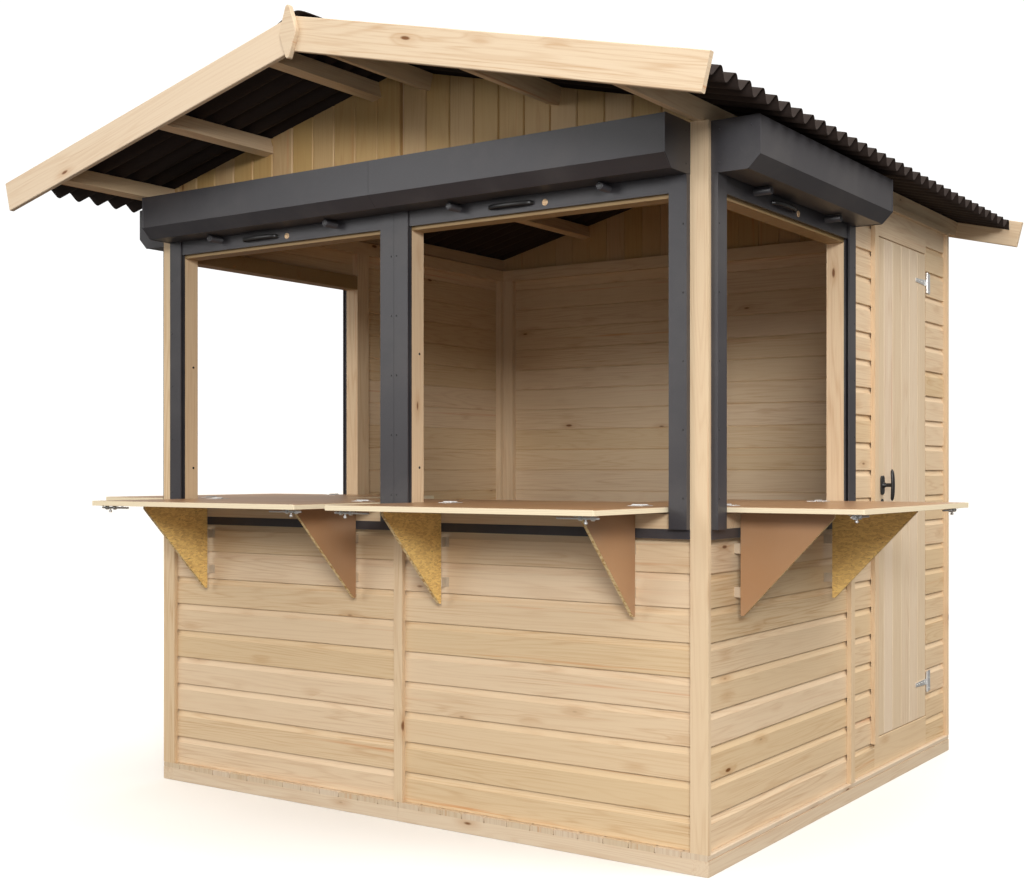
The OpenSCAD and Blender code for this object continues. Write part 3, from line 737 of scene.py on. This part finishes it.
def make_floor_boards():
    """Floor boards: bevelled rectangles side by side, carried from the front to the back."""
    s = sizes()
    low, high = box("floor_boards")
    shape = Shape(31)
    count = round((high[0] - low[0]) / s.floor_pitch)
    xs = np.linspace(low[0], high[0], count + 1)
    for x0, x1 in zip(xs[:-1] + 0.001, xs[1:] - 0.001):
        shape.board((x0, low[1], low[2]), (x1, high[1], high[2]), 1, arris=0.0035)
    shape.make("floor_planks", "stall", "bearer_wood", [MATERIALS["floor_wood"]], ["floor_boards"])


def make_door():
    """Door: upright bevelled boards side by side, with three ledges across their back."""
    low, high = box("door_leaf")
    shape = Shape(41)
    count = round((high[1] - low[1]) / sizes().upright_pitch)
    ys = np.linspace(low[1], high[1], count + 1)
    back = low[0] + DOOR_LEDGE
    for y0, y1 in zip(ys[:-1], ys[1:]):
        shape.board((back, y0 + 0.0004, low[2]), (high[0], y1 - 0.0004, high[2]), 2, arris=0.0018)
    for z in (low[2] + 0.16, (low[2] + high[2]) / 2, high[2] - 0.16):
        shape.board((low[0], low[1] + 0.03, z - 0.055), (back, high[1] - 0.03, z + 0.055), 1)
    shape.make("door_planks", "door", "gable_wood", [MATERIALS["door_wood"]], ["door_leaf"])


def make_door_fittings():
    """T-handle, lock and hinge screws. The rose is a superellipse of the fourth power carried
    through its thickness. The grip is an oval carried upwards: over v from -1 to 1 its width
    falls by v squared, and its size by the root of 1 - v to the eighth."""
    low, high = box("door_handle")
    face = box("door_leaf")[1][0]
    y, z = (low[1] + high[1]) / 2, (low[2] + high[2]) / 2
    t = np.linspace(0, 2 * math.pi, 40, endpoint=False)
    wave = np.stack([np.cos(t), np.sin(t)], -1)
    wave = np.sign(wave) * np.abs(wave) ** 0.5
    rose = np.concatenate([np.zeros((40, 1)), wave * [0.0195, 0.0395]], 1)
    shape = Shape(42)
    shape.plate(rose, (face, y, z), (1, 0, 0), 0.007, 0.002)
    shape.turned((face + 0.006, y, z), (1, 0, 0), [0.012, 0.012, 0.008, 0.008, 0.010],
                 [0, 0.006, 0.012, 0.032, 0.042], 24)
    v = np.linspace(-1, 1, 17)
    width = 0.0125 - 0.0035 * v ** 2
    ring_t = np.linspace(0, 2 * math.pi, 20, endpoint=False)
    path = np.stack([face + 0.0475 - 0.004 * v ** 2, np.full(17, y), z + 0.066 * v], -1)
    scale = np.sqrt(np.clip(1.02 - np.abs(v) ** 8, 0.02, 1))
    rings = path[:, None, :] + (scale * 0.0075)[:, None, None] * (
        np.cos(ring_t)[:, None] * np.array([1.0, 0, 0])) + (scale * width)[:, None, None] * (
        np.sin(ring_t)[:, None] * np.array([0, 1.0, 0]))
    shape.sweep(rings, 0.5, smooth=True)
    shape.turned((face, y, z - 0.068), (1, 0, 0), [0.011, 0.011, 0.0095], [0, 0.004, 0.0055], 24)
    shape.make("door_t_handle", "door", "black_metal", [MATERIALS["black_metal"]], ["door_handle"])

    straps, plates = box("door_straps"), box("door_hinge_plates")
    shape, fixed = Shape(43), Shape(44)
    for z in (plates[0][2] + 0.045, plates[1][2] - 0.045):
        spots = [(face + 0.003, straps[1][1] - d, z) for d in (0.03, 0.065, 0.10, 0.132)]
        shape.screws(spots, (1, 0, 0))
        fixed.screws([(face + 0.003, plates[1][1] - 0.016 - 0.012 * (k % 2), z + h)
                      for k, h in enumerate((-0.034, -0.012, 0.012, 0.034))], (1, 0, 0))
    shape.make("door_strap_screws", "door", "zinc", [MATERIALS["zinc"]])
    fixed.make("door_plate_screws", "stall", "zinc", [MATERIALS["zinc"]])


def wave_run(low, high):
    """How many waves a roof sheet's box holds, and the length of one."""
    total = high[1] - low[1]
    count = round(total / sizes().wave_pitch)
    return count, total / count


def make_roof_sheets():
    """Roof sheets, each a few waves long. Over the length y and the slope length q, a sheet's
    height over its seat is half the wave height times 1 - cos(2 pi y / pitch), and every
    other sheet is lifted a little where it laps its neighbours."""
    s = sizes()
    slope, ridge = roof_line()
    pitch = math.atan(slope)
    for side, sign in (("left", -1), ("right", 1)):
        node = side + "_roof_sheet"
        low, high = box(node)
        far = max(abs(low[0]), abs(high[0]))
        run = (far - (s.wave_height + s.sheet) * math.sin(pitch)) / math.cos(pitch)
        waves, wave = wave_run(low, high)
        starts = [k for k in range(0, waves, s.waves_per_sheet - 1) if waves - k > 1]
        shape = Shape(51)
        for index, k in enumerate(starts):
            stop = min(k + s.waves_per_sheet, waves)
            lift = s.sheet_lap * (index % 2)
            P, Q = np.meshgrid(np.linspace(k, stop, (stop - k) * 14 + 1), np.linspace(0.004, run, 15))
            H = s.wave_height / 2 * (1 - np.cos(2 * math.pi * P)) + lift
            faces = []
            for rise in (s.sheet - lift * 0.55, -lift * 0.55):
                x = Q * math.cos(pitch) + (H + rise) * math.sin(pitch)
                z = ridge - Q * math.sin(pitch) + (H + rise) * math.cos(pitch)
                faces.append(np.stack([sign * np.minimum(x, far), low[1] + P * wave, z], -1))
            shape.sheet(*faces, tone=0.35 + 0.3 * (index % 2))
        shape.make(side + "_corrugated_sheets", "stall", "roof_sheet", [MATERIALS["roof_sheet"]],
                   [node])


def make_ridge():
    """Ridge cap: over v from -1 to 1 across the roof it falls by the root of v^2 + roll^2, so
    that it is straight down both slopes and rounded at the top."""
    low, high = box("ridge_cap")
    thick = 0.003
    half = high[0]
    v = np.linspace(-1, 1, 41)
    roll = 0.028 / half
    bend = (np.sqrt(v ** 2 + roll ** 2) - roll) / (math.sqrt(1 + roll ** 2) - roll)
    X, Y = np.meshgrid(v * half, np.linspace(low[1], high[1], 25))
    Z = np.meshgrid(high[2] - thick - (high[2] - low[2] - thick) * bend, Y[:, 0])[0]
    shape = Shape(52)
    shape.sheet(np.stack([X, Y, Z + thick], -1), np.stack([X, Y, Z], -1), 0.6)
    shape.make("ridge_roll", "stall", "roof_sheet", [MATERIALS["roof_sheet"]], ["ridge_cap"])


def make_nail_caps():
    """Nail caps on every other crest over two purlins of each slope: short turned domes."""
    s = sizes()
    slope, ridge = roof_line()
    pitch = math.atan(slope)
    low, high = box("right_roof_sheet")
    waves, wave = wave_run(low, high)
    crest = s.wave_height + s.sheet + s.sheet_lap
    out = np.array([math.sin(pitch), 0, math.cos(pitch)])
    shape = Shape(53)
    for x in NAIL_ROWS:
        for k in range(0, waves, 2):
            seat = np.array([x, low[1] + (k + 0.5) * wave, ridge - slope * x])
            at = seat + out * (crest - 0.0035)
            for sign in (-1, 1):
                flip = np.array([sign, 1, 1])
                shape.turned(at * flip, out * flip, [0.011, 0.011, 0.007, 0.002],
                             [-0.002, 0.002, 0.0055, 0.0065], 8)
    shape.make("roof_nail_caps", "stall", "roof_sheet", [MATERIALS["nail_cap"]])


def make_bargeboards():
    """Two raking boards at each gable: their profile is a bevelled upright rectangle carried
    from the ridge to the square-cut foot, z = apex - slope * |x|."""
    a = sizes().arris
    slope = roof_line()[0]
    pitch = math.atan(slope)
    start = 0.0005
    for seed, node in ((61, "front_bargeboards"), (62, "back_bargeboards")):
        low, high = box(node)
        shape = Shape(seed)
        foot = high[0]
        y0, y1 = low[1], high[1]
        ys = np.array([y0 + a, y1 - a, y1, y1, y1 - a, y0 + a, y0, y0])
        depth = np.array([0, 0, a, BARGE_DEPTH - a, BARGE_DEPTH, BARGE_DEPTH, BARGE_DEPTH - a, a])
        foot_z = high[2] - slope * (foot - start)
        for sign in (-1, 1):
            starts = np.stack([np.full(8, start), ys, high[2] - depth / math.cos(pitch)], -1)
            ends = np.stack([foot - depth * math.sin(pitch), ys,
                             foot_z - depth * math.cos(pitch)], -1)
            rings = np.stack([starts, starts + (ends - starts) * 0.5, ends])
            rings[:, :, 0] *= sign
            shape.sweep(rings)
        shape.make(node.replace("boards", "_planks"), "stall", "trim_wood",
                   [MATERIALS["trim_wood"]], [node])


def make_diamonds():
    """The diamond on each gable's peak: a blunt rhombus with its corners rounded, carried
    through the bargeboards' thickness."""
    low, high = box("gable_finials")
    z0, z1 = low[2], high[2]
    mid, wide, blunt = (z0 + z1) / 2, high[0], 0.006
    outline = rounded([[wide, 0, mid], [blunt, 0, z1], [-blunt, 0, z1], [-wide, 0, mid],
                       [-blunt, 0, z0], [blunt, 0, z0]], 0.016)
    planks = box("front_bargeboards")
    thick = planks[1][1] - planks[0][1]
    shape = Shape(63)
    for y in (low[1], high[1] - thick):
        shape.plate(outline, (0, y, 0), (0, 1, 0), thick, 0.0025)
    shape.make("gable_diamonds", "stall", "trim_wood", [MATERIALS["diamond_wood"]],
               ["gable_finials"])


def rounded(points, radius, steps=5):
    """A closed outline with each corner cut by a quadratic bend of the given radius."""
    p = np.asarray(points, float)
    before, after = np.roll(p, 1, 0) - p, np.roll(p, -1, 0) - p
    near = np.linalg.norm(before, axis=1, keepdims=True)
    far = np.linalg.norm(after, axis=1, keepdims=True)
    reach = np.minimum(radius, 0.45 * np.minimum(near, far))
    a, b = p + before / near * reach, p + after / far * reach
    t = np.linspace(0, 1, steps)[None, :, None]
    bend = (1 - t) ** 2 * a[:, None] + 2 * t * (1 - t) * p[:, None] + t ** 2 * b[:, None]
    return bend.reshape(-1, 3)


def make_counters():
    """Counter leaves: a rectangle with slightly eased corners carried through the thickness."""
    for seed, bay in enumerate(BAYS):
        low, high = box("counter_leaf_" + bay)
        shape = Shape(70 + seed)
        outline = rounded([(low[0], low[1], 0), (high[0], low[1], 0), (high[0], high[1], 0),
                           (low[0], high[1], 0)], 0.006, 4)
        shape.plate(outline, (0, 0, low[2]), (0, 0, 1), high[2] - low[2], 0.0009)
        shape.make("counter_board_" + bay, "leaf_" + bay, "film_board", [MATERIALS["film_board"]],
                   ["counter_leaf_" + bay])


def bay_axes(bay):
    """The bay's leaf box, its unit vectors along the wall and outwards, and its middle."""
    low, high = box("counter_leaf_" + bay)
    mid = (low + high) / 2
    out = {"left": (-1.0, 0, 0), "right": (1.0, 0, 0)}.get(bay, (0, -1.0, 0))
    out = np.array(out)
    along = np.array([0, 1.0, 0]) if abs(out[0]) > 0.5 else np.array([1.0, 0, 0])
    inner = mid + out * (np.abs(out) @ (low - high)) / 2
    return low, high, mid, along, out, inner


def leaf_hinge_plates(seed, bay):
    """The butt hinges' plates on a leaf over its two brackets: eased rectangles carried
    through their thickness, with three screws each."""
    _, high, _, along, out, inner = bay_axes(bay)
    thick = 0.0018
    shape = Shape(80 + seed)
    for s in (-1, 1):
        at = inner * [1, 1, 0] + along * s * BRACKET_SPREAD + UP * high[2]
        corners = [at + along * u + out * v
                   for u, v in ((0.029, 0.005), (0.029, 0.036), (-0.029, 0.036), (-0.029, 0.005))]
        shape.plate(rounded(corners, 0.004), (0, 0, 0), UP, thick, 0.0004)
        shape.screws([at + out * 0.022 + along * d + UP * thick for d in (-0.019, 0, 0.019)],
                     UP, 0.003)
    shape.make("leaf_hinge_plates_" + bay, "leaf_" + bay, "zinc", [MATERIALS["zinc"]])


def leaf_catches(seed, bay):
    """Barrel bolts under a leaf's outer corners: a bevelled plate, a turned rod along the leaf
    in two turned barrels, a knob turned downwards, and four screws."""
    low, high, _, along, out, inner = bay_axes(bay)
    line = int(np.argmax(along))
    reach, half = np.abs(out) @ (high - low), np.abs(along) @ (high - low) / 2
    thick, end_gap, side_gap = 0.002, 0.045, 0.055
    shape = Shape(90 + seed)
    for s in (-1, 1):
        at = (inner * [1, 1, 0] + out * (reach - end_gap) + along * s * (half - side_gap)
              + UP * low[2])
        shape.board(at - along * 0.036 - out * 0.016 - UP * thick, at + along * 0.036 + out * 0.016,
                    line, 0.5, arris=0.0005)
        rod = at - UP * 0.0085
        shape.turned(rod - along * s * 0.105, along * s, [0.0026, 0.0036, 0.0036, 0.0026],
                     [0, 0.002, 0.150, 0.152], 12)
        for d in (-0.024, 0.020):
            shape.turned(rod + along * d, along, [0.0072, 0.0080, 0.0080, 0.0072],
                         [0, 0.0012, 0.0098, 0.011], 14)
        shape.turned(rod - UP * 0.002, -UP, [0.0036, 0.0036, 0.0060, 0.0060, 0.0040],
                     [0, 0.008, 0.010, 0.014, 0.016], 12)
        shape.screws([at - UP * thick + out * u + along * v for u in (-0.011, 0.011)
                      for v in (-0.030, 0.030)], -UP, 0.003)
    shape.make("leaf_catches_" + bay, "leaf_" + bay, "zinc", [MATERIALS["zinc"]])


def leaf_clips(seed, bay):
    """Dark clips under a leaf beside its brackets: small bevelled rectangles."""
    low, _, _, along, out, inner = bay_axes(bay)
    beside = BRACKET_SPREAD - 0.017
    shape = Shape(94 + seed)
    for s in (-1, 1):
        for d in (0.13, 0.31):
            p = inner * [1, 1, 0] + along * s * beside + UP * low[2] + out * d
            shape.board(p - along * 0.010 - out * 0.016 - UP * 0.0032,
                        p + along * 0.010 + out * 0.016, int(np.argmax(along)), 0.5, arris=0.001)
    shape.make("leaf_clips_" + bay, "leaf_" + bay, "black_metal", [MATERIALS["black_metal"]])


def make_counter_fittings():
    """Hinge plates, barrel bolts and clips on every leaf."""
    for seed, bay in enumerate(BAYS):
        for fitting in (leaf_hinge_plates, leaf_catches, leaf_clips):
            fitting(seed, bay)


def make_brackets():
    """Folding brackets: a right triangle with eased corners carried through its thickness, film
    on the face away from the bay's middle and strands on the other."""
    mats = [MATERIALS["strand_board"], MATERIALS["ply_edge"], MATERIALS["bracket_film"]]
    for seed, bay in enumerate(BAYS):
        _, _, mid, along, out, _ = bay_axes(bay)
        for k, end in enumerate("ab"):
            node = f"bracket_{bay}_{end}"
            low, high = box(node)
            s = np.sign(along @ ((low + high) / 2 - mid))
            wall = np.where(out > 0.5, low, np.where(out < -0.5, high, 0)) * np.abs(out)
            place = along * (along @ (low if s > 0 else high))
            tall = high[2] - low[2]
            reach, thick = np.abs(out) @ (high - low), np.abs(along) @ (high - low)
            flat = [(0, 0), (0, tall), (reach, tall), (reach, tall - BRACKET_TIP), (BRACKET_TIP, 0)]
            outline = rounded([wall + out * u + UP * (low[2] + v) for u, v in flat], 0.006)
            shape = Shape(100 + 2 * seed + k)
            shape.plate(outline, place, along * s, thick, 0.0006, (0, 1, 2))
            shape.make(f"bracket_plate_{bay}_{end}", node, "bracket_board", mats, [node])


def bow_pull(shape, bar, right, out):
    """A bow handle on an end bar: an upright oval carried along half a flattened ellipse,
    out = reach * sin(t)^0.6, across = half width * cos(t), for t from 0 to half a turn."""
    t = np.linspace(0, math.pi, 25)
    across = PULL_HALF * np.cos(t) - PULL_SHIFT
    reach = PULL_REACH * np.sin(t) ** 0.6 - 0.001
    turn = np.linspace(0, 2 * math.pi, 12, endpoint=False)
    mid = bar + across[:, None] * right + reach[:, None] * out
    facing = np.stack([-PULL_HALF * np.sin(t), PULL_REACH * np.cos(t)], -1)
    facing /= np.linalg.norm(facing, axis=1, keepdims=True)
    normal = facing[:, 1:] * right - facing[:, :1] * out
    rings = (mid[:, None, :] + 0.0035 * np.cos(turn)[None, :, None] * normal[:, None, :]
             + 0.0075 * np.sin(turn)[None, :, None] * UP)
    shape.sweep(rings, 0.5, smooth=True)


def make_end_caps():
    """End caps on the shutter boxes' outer ends: the box's outline, grown a little and eased,
    carried through the cap's thickness, with three screws."""
    half_width, half_depth = box("base_side_bearers")[1][:2]
    fronts, sides = box("front_shutter_boxes"), box("side_shutter_boxes")
    deep = sides[1][0] - half_width
    z0, z1 = fronts[0][2], fronts[1][2]
    grow, proud, thick = 0.0016, 0.0012, 0.0052
    grown = [(0.0, z0 - grow), (deep - BOX_BEVEL + grow * 0.4, z0 - grow),
             (deep + grow, z0 + BOX_BEVEL - grow * 0.4), (deep + grow, z1 + grow), (0.0, z1 + grow)]
    both_sides = [(sides[0][1], 1), (sides[1][1], -1)]
    shape = Shape(110)
    for bay in BAYS:
        _, _, _, along, out, _ = bay_axes(bay)
        wall = out * (half_depth if bay.startswith("front") else half_width)
        ends = {"front_left": [(fronts[0][0], 1)],
                "front_right": [(fronts[1][0], -1)]}.get(bay, both_sides)
        for end, inward in ends:
            start = along * (end - inward * proud)
            outline = rounded([wall + out * u + UP * v for u, v in grown], 0.004)
            shape.plate(outline, start, along * inward, thick, 0.0008, tone=0.5)
            spots = [wall + out * u + UP * v + start
                     for u, v in ((0.03, z0 + 0.03), (deep - 0.03, z1 - 0.03), (0.03, z1 - 0.03))]
            shape.screws(spots, -along * inward, 0.0035)
    shape.make("shutter_box_end_caps", "stall", "dark_metal", [MATERIALS["dark_metal"]])


def make_bar_fittings():
    """On each shutter's end bar: a bow handle, two turned stoppers with a hollow end, and a
    lock's turned ring."""
    s = sizes()
    half_width, half_depth = box("base_side_bearers")[1][:2]
    foot = box("front_shutter_boxes")[0][2]
    locks, pulls = Shape(111), Shape(112)
    for bay in BAYS:
        _, _, mid, along, out, _ = bay_axes(bay)
        front = bay.startswith("front")
        bar = (out * ((half_depth if front else half_width) + s.bar_face)
               + along * (along @ mid) + UP * (foot - s.pull_drop))
        right = along * (1 if front else np.sign(out[0]))
        locks.turned(bar + right * s.lock_offset - UP * 0.004, out,
                     [0.0118, 0.0118, 0.0108, 0.0042, 0.0038],
                     [-0.002, 0.0010, 0.0018, 0.0018, 0.0006], 24)
        bow_pull(pulls, bar, right, out)
        for side in (-1, 1):
            stop = bar + along * side * s.stop_spread + UP * (s.pull_drop - s.stop_drop)
            pulls.turned(stop, out, np.array([1, 1, 0.92, 0.58, 0.55]) * s.stop_radius,
                         [-0.002, s.stop_reach - 0.001, s.stop_reach, s.stop_reach,
                          s.stop_reach - 0.001], finish=1)
            pulls.turned(stop + out * (s.stop_reach - 0.0012), out,
                         np.array([0.54, 0.54]) * s.stop_radius, [0, 0.0005], 16)
    locks.make("shutter_locks", "stall", "dark_metal", [MATERIALS["brass"]])
    pulls.make("shutter_pulls_and_stops", "stall", "black_metal",
               [MATERIALS["black_metal"], MATERIALS["dark_metal"]])


def make_screws():
    """Screw heads on the guide rails, and bolts in the posts beside the rails."""
    half_depth = box("corner_strips")[1][1]
    rail, side = box("front_guide_rails"), box("side_guide_rails")
    rail_z = np.linspace(rail[0][2] + 0.10, rail[1][2] - 0.16, 5)
    inset, radius = 0.012, 0.0032
    shape = Shape(121)
    for sign in (-1, 1):
        for x in (inset, rail[1][0] - inset):
            shape.screws([(sign * x, rail[0][1], z) for z in rail_z], (0, -1, 0), radius)
    for sign in (-1, 1):
        for y in (side[0][1] + inset, side[1][1] - inset):
            shape.screws([(sign * side[1][0], y, z) for z in rail_z], (sign, 0, 0), radius)
    for sign in (-1, 1):
        for z in (rail[0][2] + 0.20, rail[0][2] + 0.62):
            for x, facing in ((rail[1][0] - POST_FACE, -1), (POST_FACE, 1)):
                shape.turned((sign * x, BOLT_SETBACK - half_depth, z), (sign * facing, 0, 0),
                             [0.0048, 0.0048, 0.004], [-0.001, 0.0010, 0.0018], 12)
    shape.make("rail_screws_and_bolts", "stall", "black_metal", [MATERIALS["black_metal"]])


def finish_timbers():
    """Gives every CAD node that stays in view its material."""
    chosen = {
        "bearer_x": ["base_cross_bearers"],
        "bearer_y": ["base_side_bearers"],
        "wood_x": ["front_and_back_plates", "hatch_sill_beams"],
        # The hatch headers get a darker wood: painted shade for the shade under the shutter boxes and
        # end bars.
        "header_wood_painted_shade": ["hatch_headers"],
        "wood_y": ["side_plates", "eave_strips", "purlins"],
        "wood_z": ["front_posts", "back_posts", "side_posts", "gable_posts", "corner_strips",
                   "joint_strips"],
        "dark_metal": ["sill_flashings", "front_shutter_boxes", "side_shutter_boxes",
                       "front_guide_rails", "side_guide_rails", "shutter_end_bars"],
        "film_board": ["front_inner_counters", "side_inner_counters"],
        "zinc": ["counter_hinges", "door_straps", "door_hinge_plates"],
        "dull_zinc": ["bracket_hinges"],
    }
    for material, nodes in chosen.items():
        for node in nodes:
            data = NODES[node].data
            data.materials.clear()
            data.materials.append(MATERIALS[material])


def make_finishes():
    """Builds the two shader groups and every material."""
    GROUPS["spruce"], GROUPS["handled"] = spruce_group(), handled_group()
    c = colours()
    wood_material("siding_wood", c.spruce, knots=0.50)
    # The gable boards' ground carries painted shade from the roof's overhang.
    wood_material("gable_wood", c.gable, knots=0.45)
    wood_material("door_wood", c.planed, knots=0.25)
    wood_material("floor_wood", c.planed, darker=0.90, knots=0.35)
    wood_material("trim_wood", c.planed, knots=0.25)
    wood_material("diamond_wood", c.planed, darker=0.95, knots=0.0)
    # Painted shade: the hatch headers take the gable ground at 0.55 of its brightness, standing for
    # the shade that the shutter boxes and end bars cast on them.
    wood_material("header_wood_painted_shade", c.gable, "X", darker=0.55, knots=0.10)
    wood_material("bearer_x", c.planed, "X", knots=0.22)
    wood_material("bearer_y", c.planed, "Y", knots=0.22)
    for axis in "XYZ":
        wood_material("wood_" + axis.lower(), c.spruce, axis, knots=0.22)
    coated_material("dark_metal", c.anthracite, 0.42, dust=0.06, specular=0.6)
    coated_material("black_metal", (0.012, 0.012, 0.013), 0.34, dust=0.04)
    coated_material("zinc", c.zinc, 0.38, metallic=0.65, dust=0.05, grain=0.1)
    coated_material("dull_zinc", (0.60, 0.49, 0.36), 0.5, metallic=0.15, dust=0.10, grain=0.1)
    coated_material("brass", c.brass, 0.45, metallic=0.6, dust=0.03)
    coated_material("nail_cap", (0.05, 0.035, 0.028), 0.55, dust=0.12)
    coated_material("bracket_film", c.film, 0.34, dust=0.14)
    film_material()
    strand_material()
    ply_material()
    sheet_material()
    floor_material()


def area_light(name, place, target, size, power):
    """A soft rectangular light, in watts, that looks at its target."""
    data = bpy.data.lights.new(name, "AREA")
    data.shape, data.size, data.size_y, data.energy = "RECTANGLE", size[0], size[1], power
    lamp = bpy.data.objects.new(name, data)
    bpy.context.collection.objects.link(lamp)
    lamp.location = place
    lamp.rotation_euler = (Vector(target) - Vector(place)).to_track_quat("-Z", "Y").to_euler()


def make_floor():
    """The studio's floor: a flat square grid just under the ground bearers."""
    u = np.linspace(-FLOOR_REACH, FLOOR_REACH, FLOOR_POINTS)
    X, Y = np.meshgrid(u, u)
    pts = np.stack([X, Y, np.full_like(X, -0.001)], -1)
    n = FLOOR_POINTS
    i, j = np.meshgrid(np.arange(n - 1), np.arange(n - 1), indexing="ij")
    quads = np.stack([i * n + j, i * n + j + 1, (i + 1) * n + j + 1, (i + 1) * n + j], -1)
    mesh = bpy.data.meshes.new("studio_floor")
    mesh.from_pydata(pts.reshape(-1, 3).tolist(), [], quads.reshape(-1, 4).tolist())
    mesh.materials.append(MATERIALS["studio_floor"])
    mesh.update()
    floor = bpy.data.objects.new("studio_floor", mesh)
    bpy.context.collection.objects.link(floor)


def make_sky():
    """A soft sky, brightest overhead. Camera rays see it white."""
    world = bpy.data.worlds.new("studio")
    bpy.context.scene.world = world
    world.use_nodes = True
    net = Net(world.node_tree)
    sky = world.node_tree.nodes["Background"]
    up = net.node("ShaderNodeSeparateXYZ")
    net.link(net.node("ShaderNodeTexCoord").outputs["Generated"], up.inputs[0])
    glow = net.ramp(up.outputs[2], 0.0, 1.0, SKY_HORIZON, SKY_ZENITH)
    seen = net.node("ShaderNodeLightPath").outputs["Is Camera Ray"]
    net.link(net.mix(seen, rgba(SKY_TINT), (1.0, 1.0, 1.0, 1)), sky.inputs[0])
    net.link(net.math("MAXIMUM", glow, seen), sky.inputs[1])


def make_lights():
    """Five soft lights round the stall, and the view's tone."""
    area_light("key_light", (5.8, -8.2, 3.7), (0, 0, 1.2), (2.6, 1.6), 450)
    area_light("low_light", (4.6, -9.0, 1.1), (0.6, 0, 1.0), (3.0, 0.9), 50)
    area_light("fill_light", (-4.8, -9.0, 3.4), (0, 0, 1.2), (4.0, 2.4), 135)
    area_light("side_light", (7.5, 0.5, 7.0), (0, 0, 1.0), (4.0, 4.0), 230)
    area_light("back_light", (-3.0, 9.0, 6.0), (0, 0, 1.6), (6.0, 4.0), 170)
    view = bpy.context.scene.view_settings
    view.view_transform, view.look, view.exposure = "Standard", "None", STUDIO_EXPOSURE


def make_camera():
    """A level camera, off the front right corner."""
    data = bpy.data.cameras.new("front_right_view")
    data.sensor_width, data.lens, data.shift_y = CAMERA_SENSOR, CAMERA_LENS, CAMERA_SHIFT
    camera = bpy.data.objects.new("front_right_view", data)
    bpy.context.collection.objects.link(camera)
    camera.location = CAMERA_PLACE
    camera.rotation_euler = (math.radians(90), 0, math.radians(CAMERA_TURN))
    bpy.context.scene.camera = camera


# ------------------------------------------------------------------ operators and panel
def operator(name, label, words, *work):
    """An operator class that does the given work in order, with its description in words."""
    def execute(self, context):
        for step in work:
            step()
        return {"FINISHED"}
    return type("STALL_OT_" + name, (bpy.types.Operator,), {
        "__doc__": words, "bl_idname": "stall." + name, "bl_label": label,
        "bl_options": {"REGISTER", "UNDO"}, "execute": execute})


OPERATORS = [
    operator("finishes", "Finishes", "Builds the shader groups and materials", make_finishes),
    operator("timbers", "Timbers and metal", "Gives the frame's own nodes their materials",
             finish_timbers),
    operator("siding", "Siding", "Builds the lapped boards of all four walls", make_siding),
    operator("gables", "Gables", "Builds the upright boards under the roof", make_gables),
    operator("floor_boards", "Floor", "Builds the floor boards", make_floor_boards),
    operator("door", "Door", "Builds the boarded door", make_door),
    operator("door_fittings", "Door fittings", "Builds the handle, lock and hinge screws",
             make_door_fittings),
    operator("roof", "Roof", "Builds the corrugated sheets, ridge cap and nail caps",
             make_roof_sheets, make_ridge, make_nail_caps),
    operator("bargeboards", "Bargeboards", "Builds the bargeboards and diamonds",
             make_bargeboards, make_diamonds),
    operator("counters", "Counters", "Builds the counter leaves", make_counters),
    operator("counter_fittings", "Counter fittings", "Builds hinge plates, bolts and clips",
             make_counter_fittings),
    operator("brackets", "Brackets", "Builds the folding brackets", make_brackets),
    operator("shutter_fittings", "Shutter fittings", "Builds end caps, handles, stoppers and locks",
             make_end_caps, make_bar_fittings),
    operator("screws", "Screws", "Builds screw heads and bolts", make_screws),
    operator("stage", "Stage", "Builds the floor, sky, lights and camera",
             make_floor, make_sky, make_lights, make_camera),
]


class STALL_PT_panel(bpy.types.Panel):
    """Lists the stall's operators, sizes and colours."""
    bl_idname = "STALL_PT_panel"
    bl_label = "Market stall"
    bl_space_type = "VIEW_3D"
    bl_region_type = "UI"
    bl_category = "Stall"

    def draw(self, context):
        for cls in OPERATORS:
            self.layout.operator(cls.bl_idname)
        for values in (context.scene.stall_sizes, context.scene.stall_colours):
            column = self.layout.column()
            for key in values.bl_rna.properties.keys():
                if key not in ("rna_type", "name"):
                    column.prop(values, key)


CLASSES = [STALL_PG_sizes, STALL_PG_colours, *OPERATORS, STALL_PT_panel]


def register():
    for cls in CLASSES:
        bpy.utils.register_class(cls)
    bpy.types.Scene.stall_sizes = PointerProperty(type=STALL_PG_sizes)
    bpy.types.Scene.stall_colours = PointerProperty(type=STALL_PG_colours)


def unregister():
    del bpy.types.Scene.stall_colours, bpy.types.Scene.stall_sizes
    for cls in reversed(CLASSES):
        bpy.utils.unregister_class(cls)


def main():
    """Registers the classes, runs every operator in order and writes both boxes down."""
    register()
    for cls in OPERATORS:
        group_name, name = cls.bl_idname.split(".")
        getattr(getattr(bpy.ops, group_name), name)()


if __name__ == "__main__":
    main()
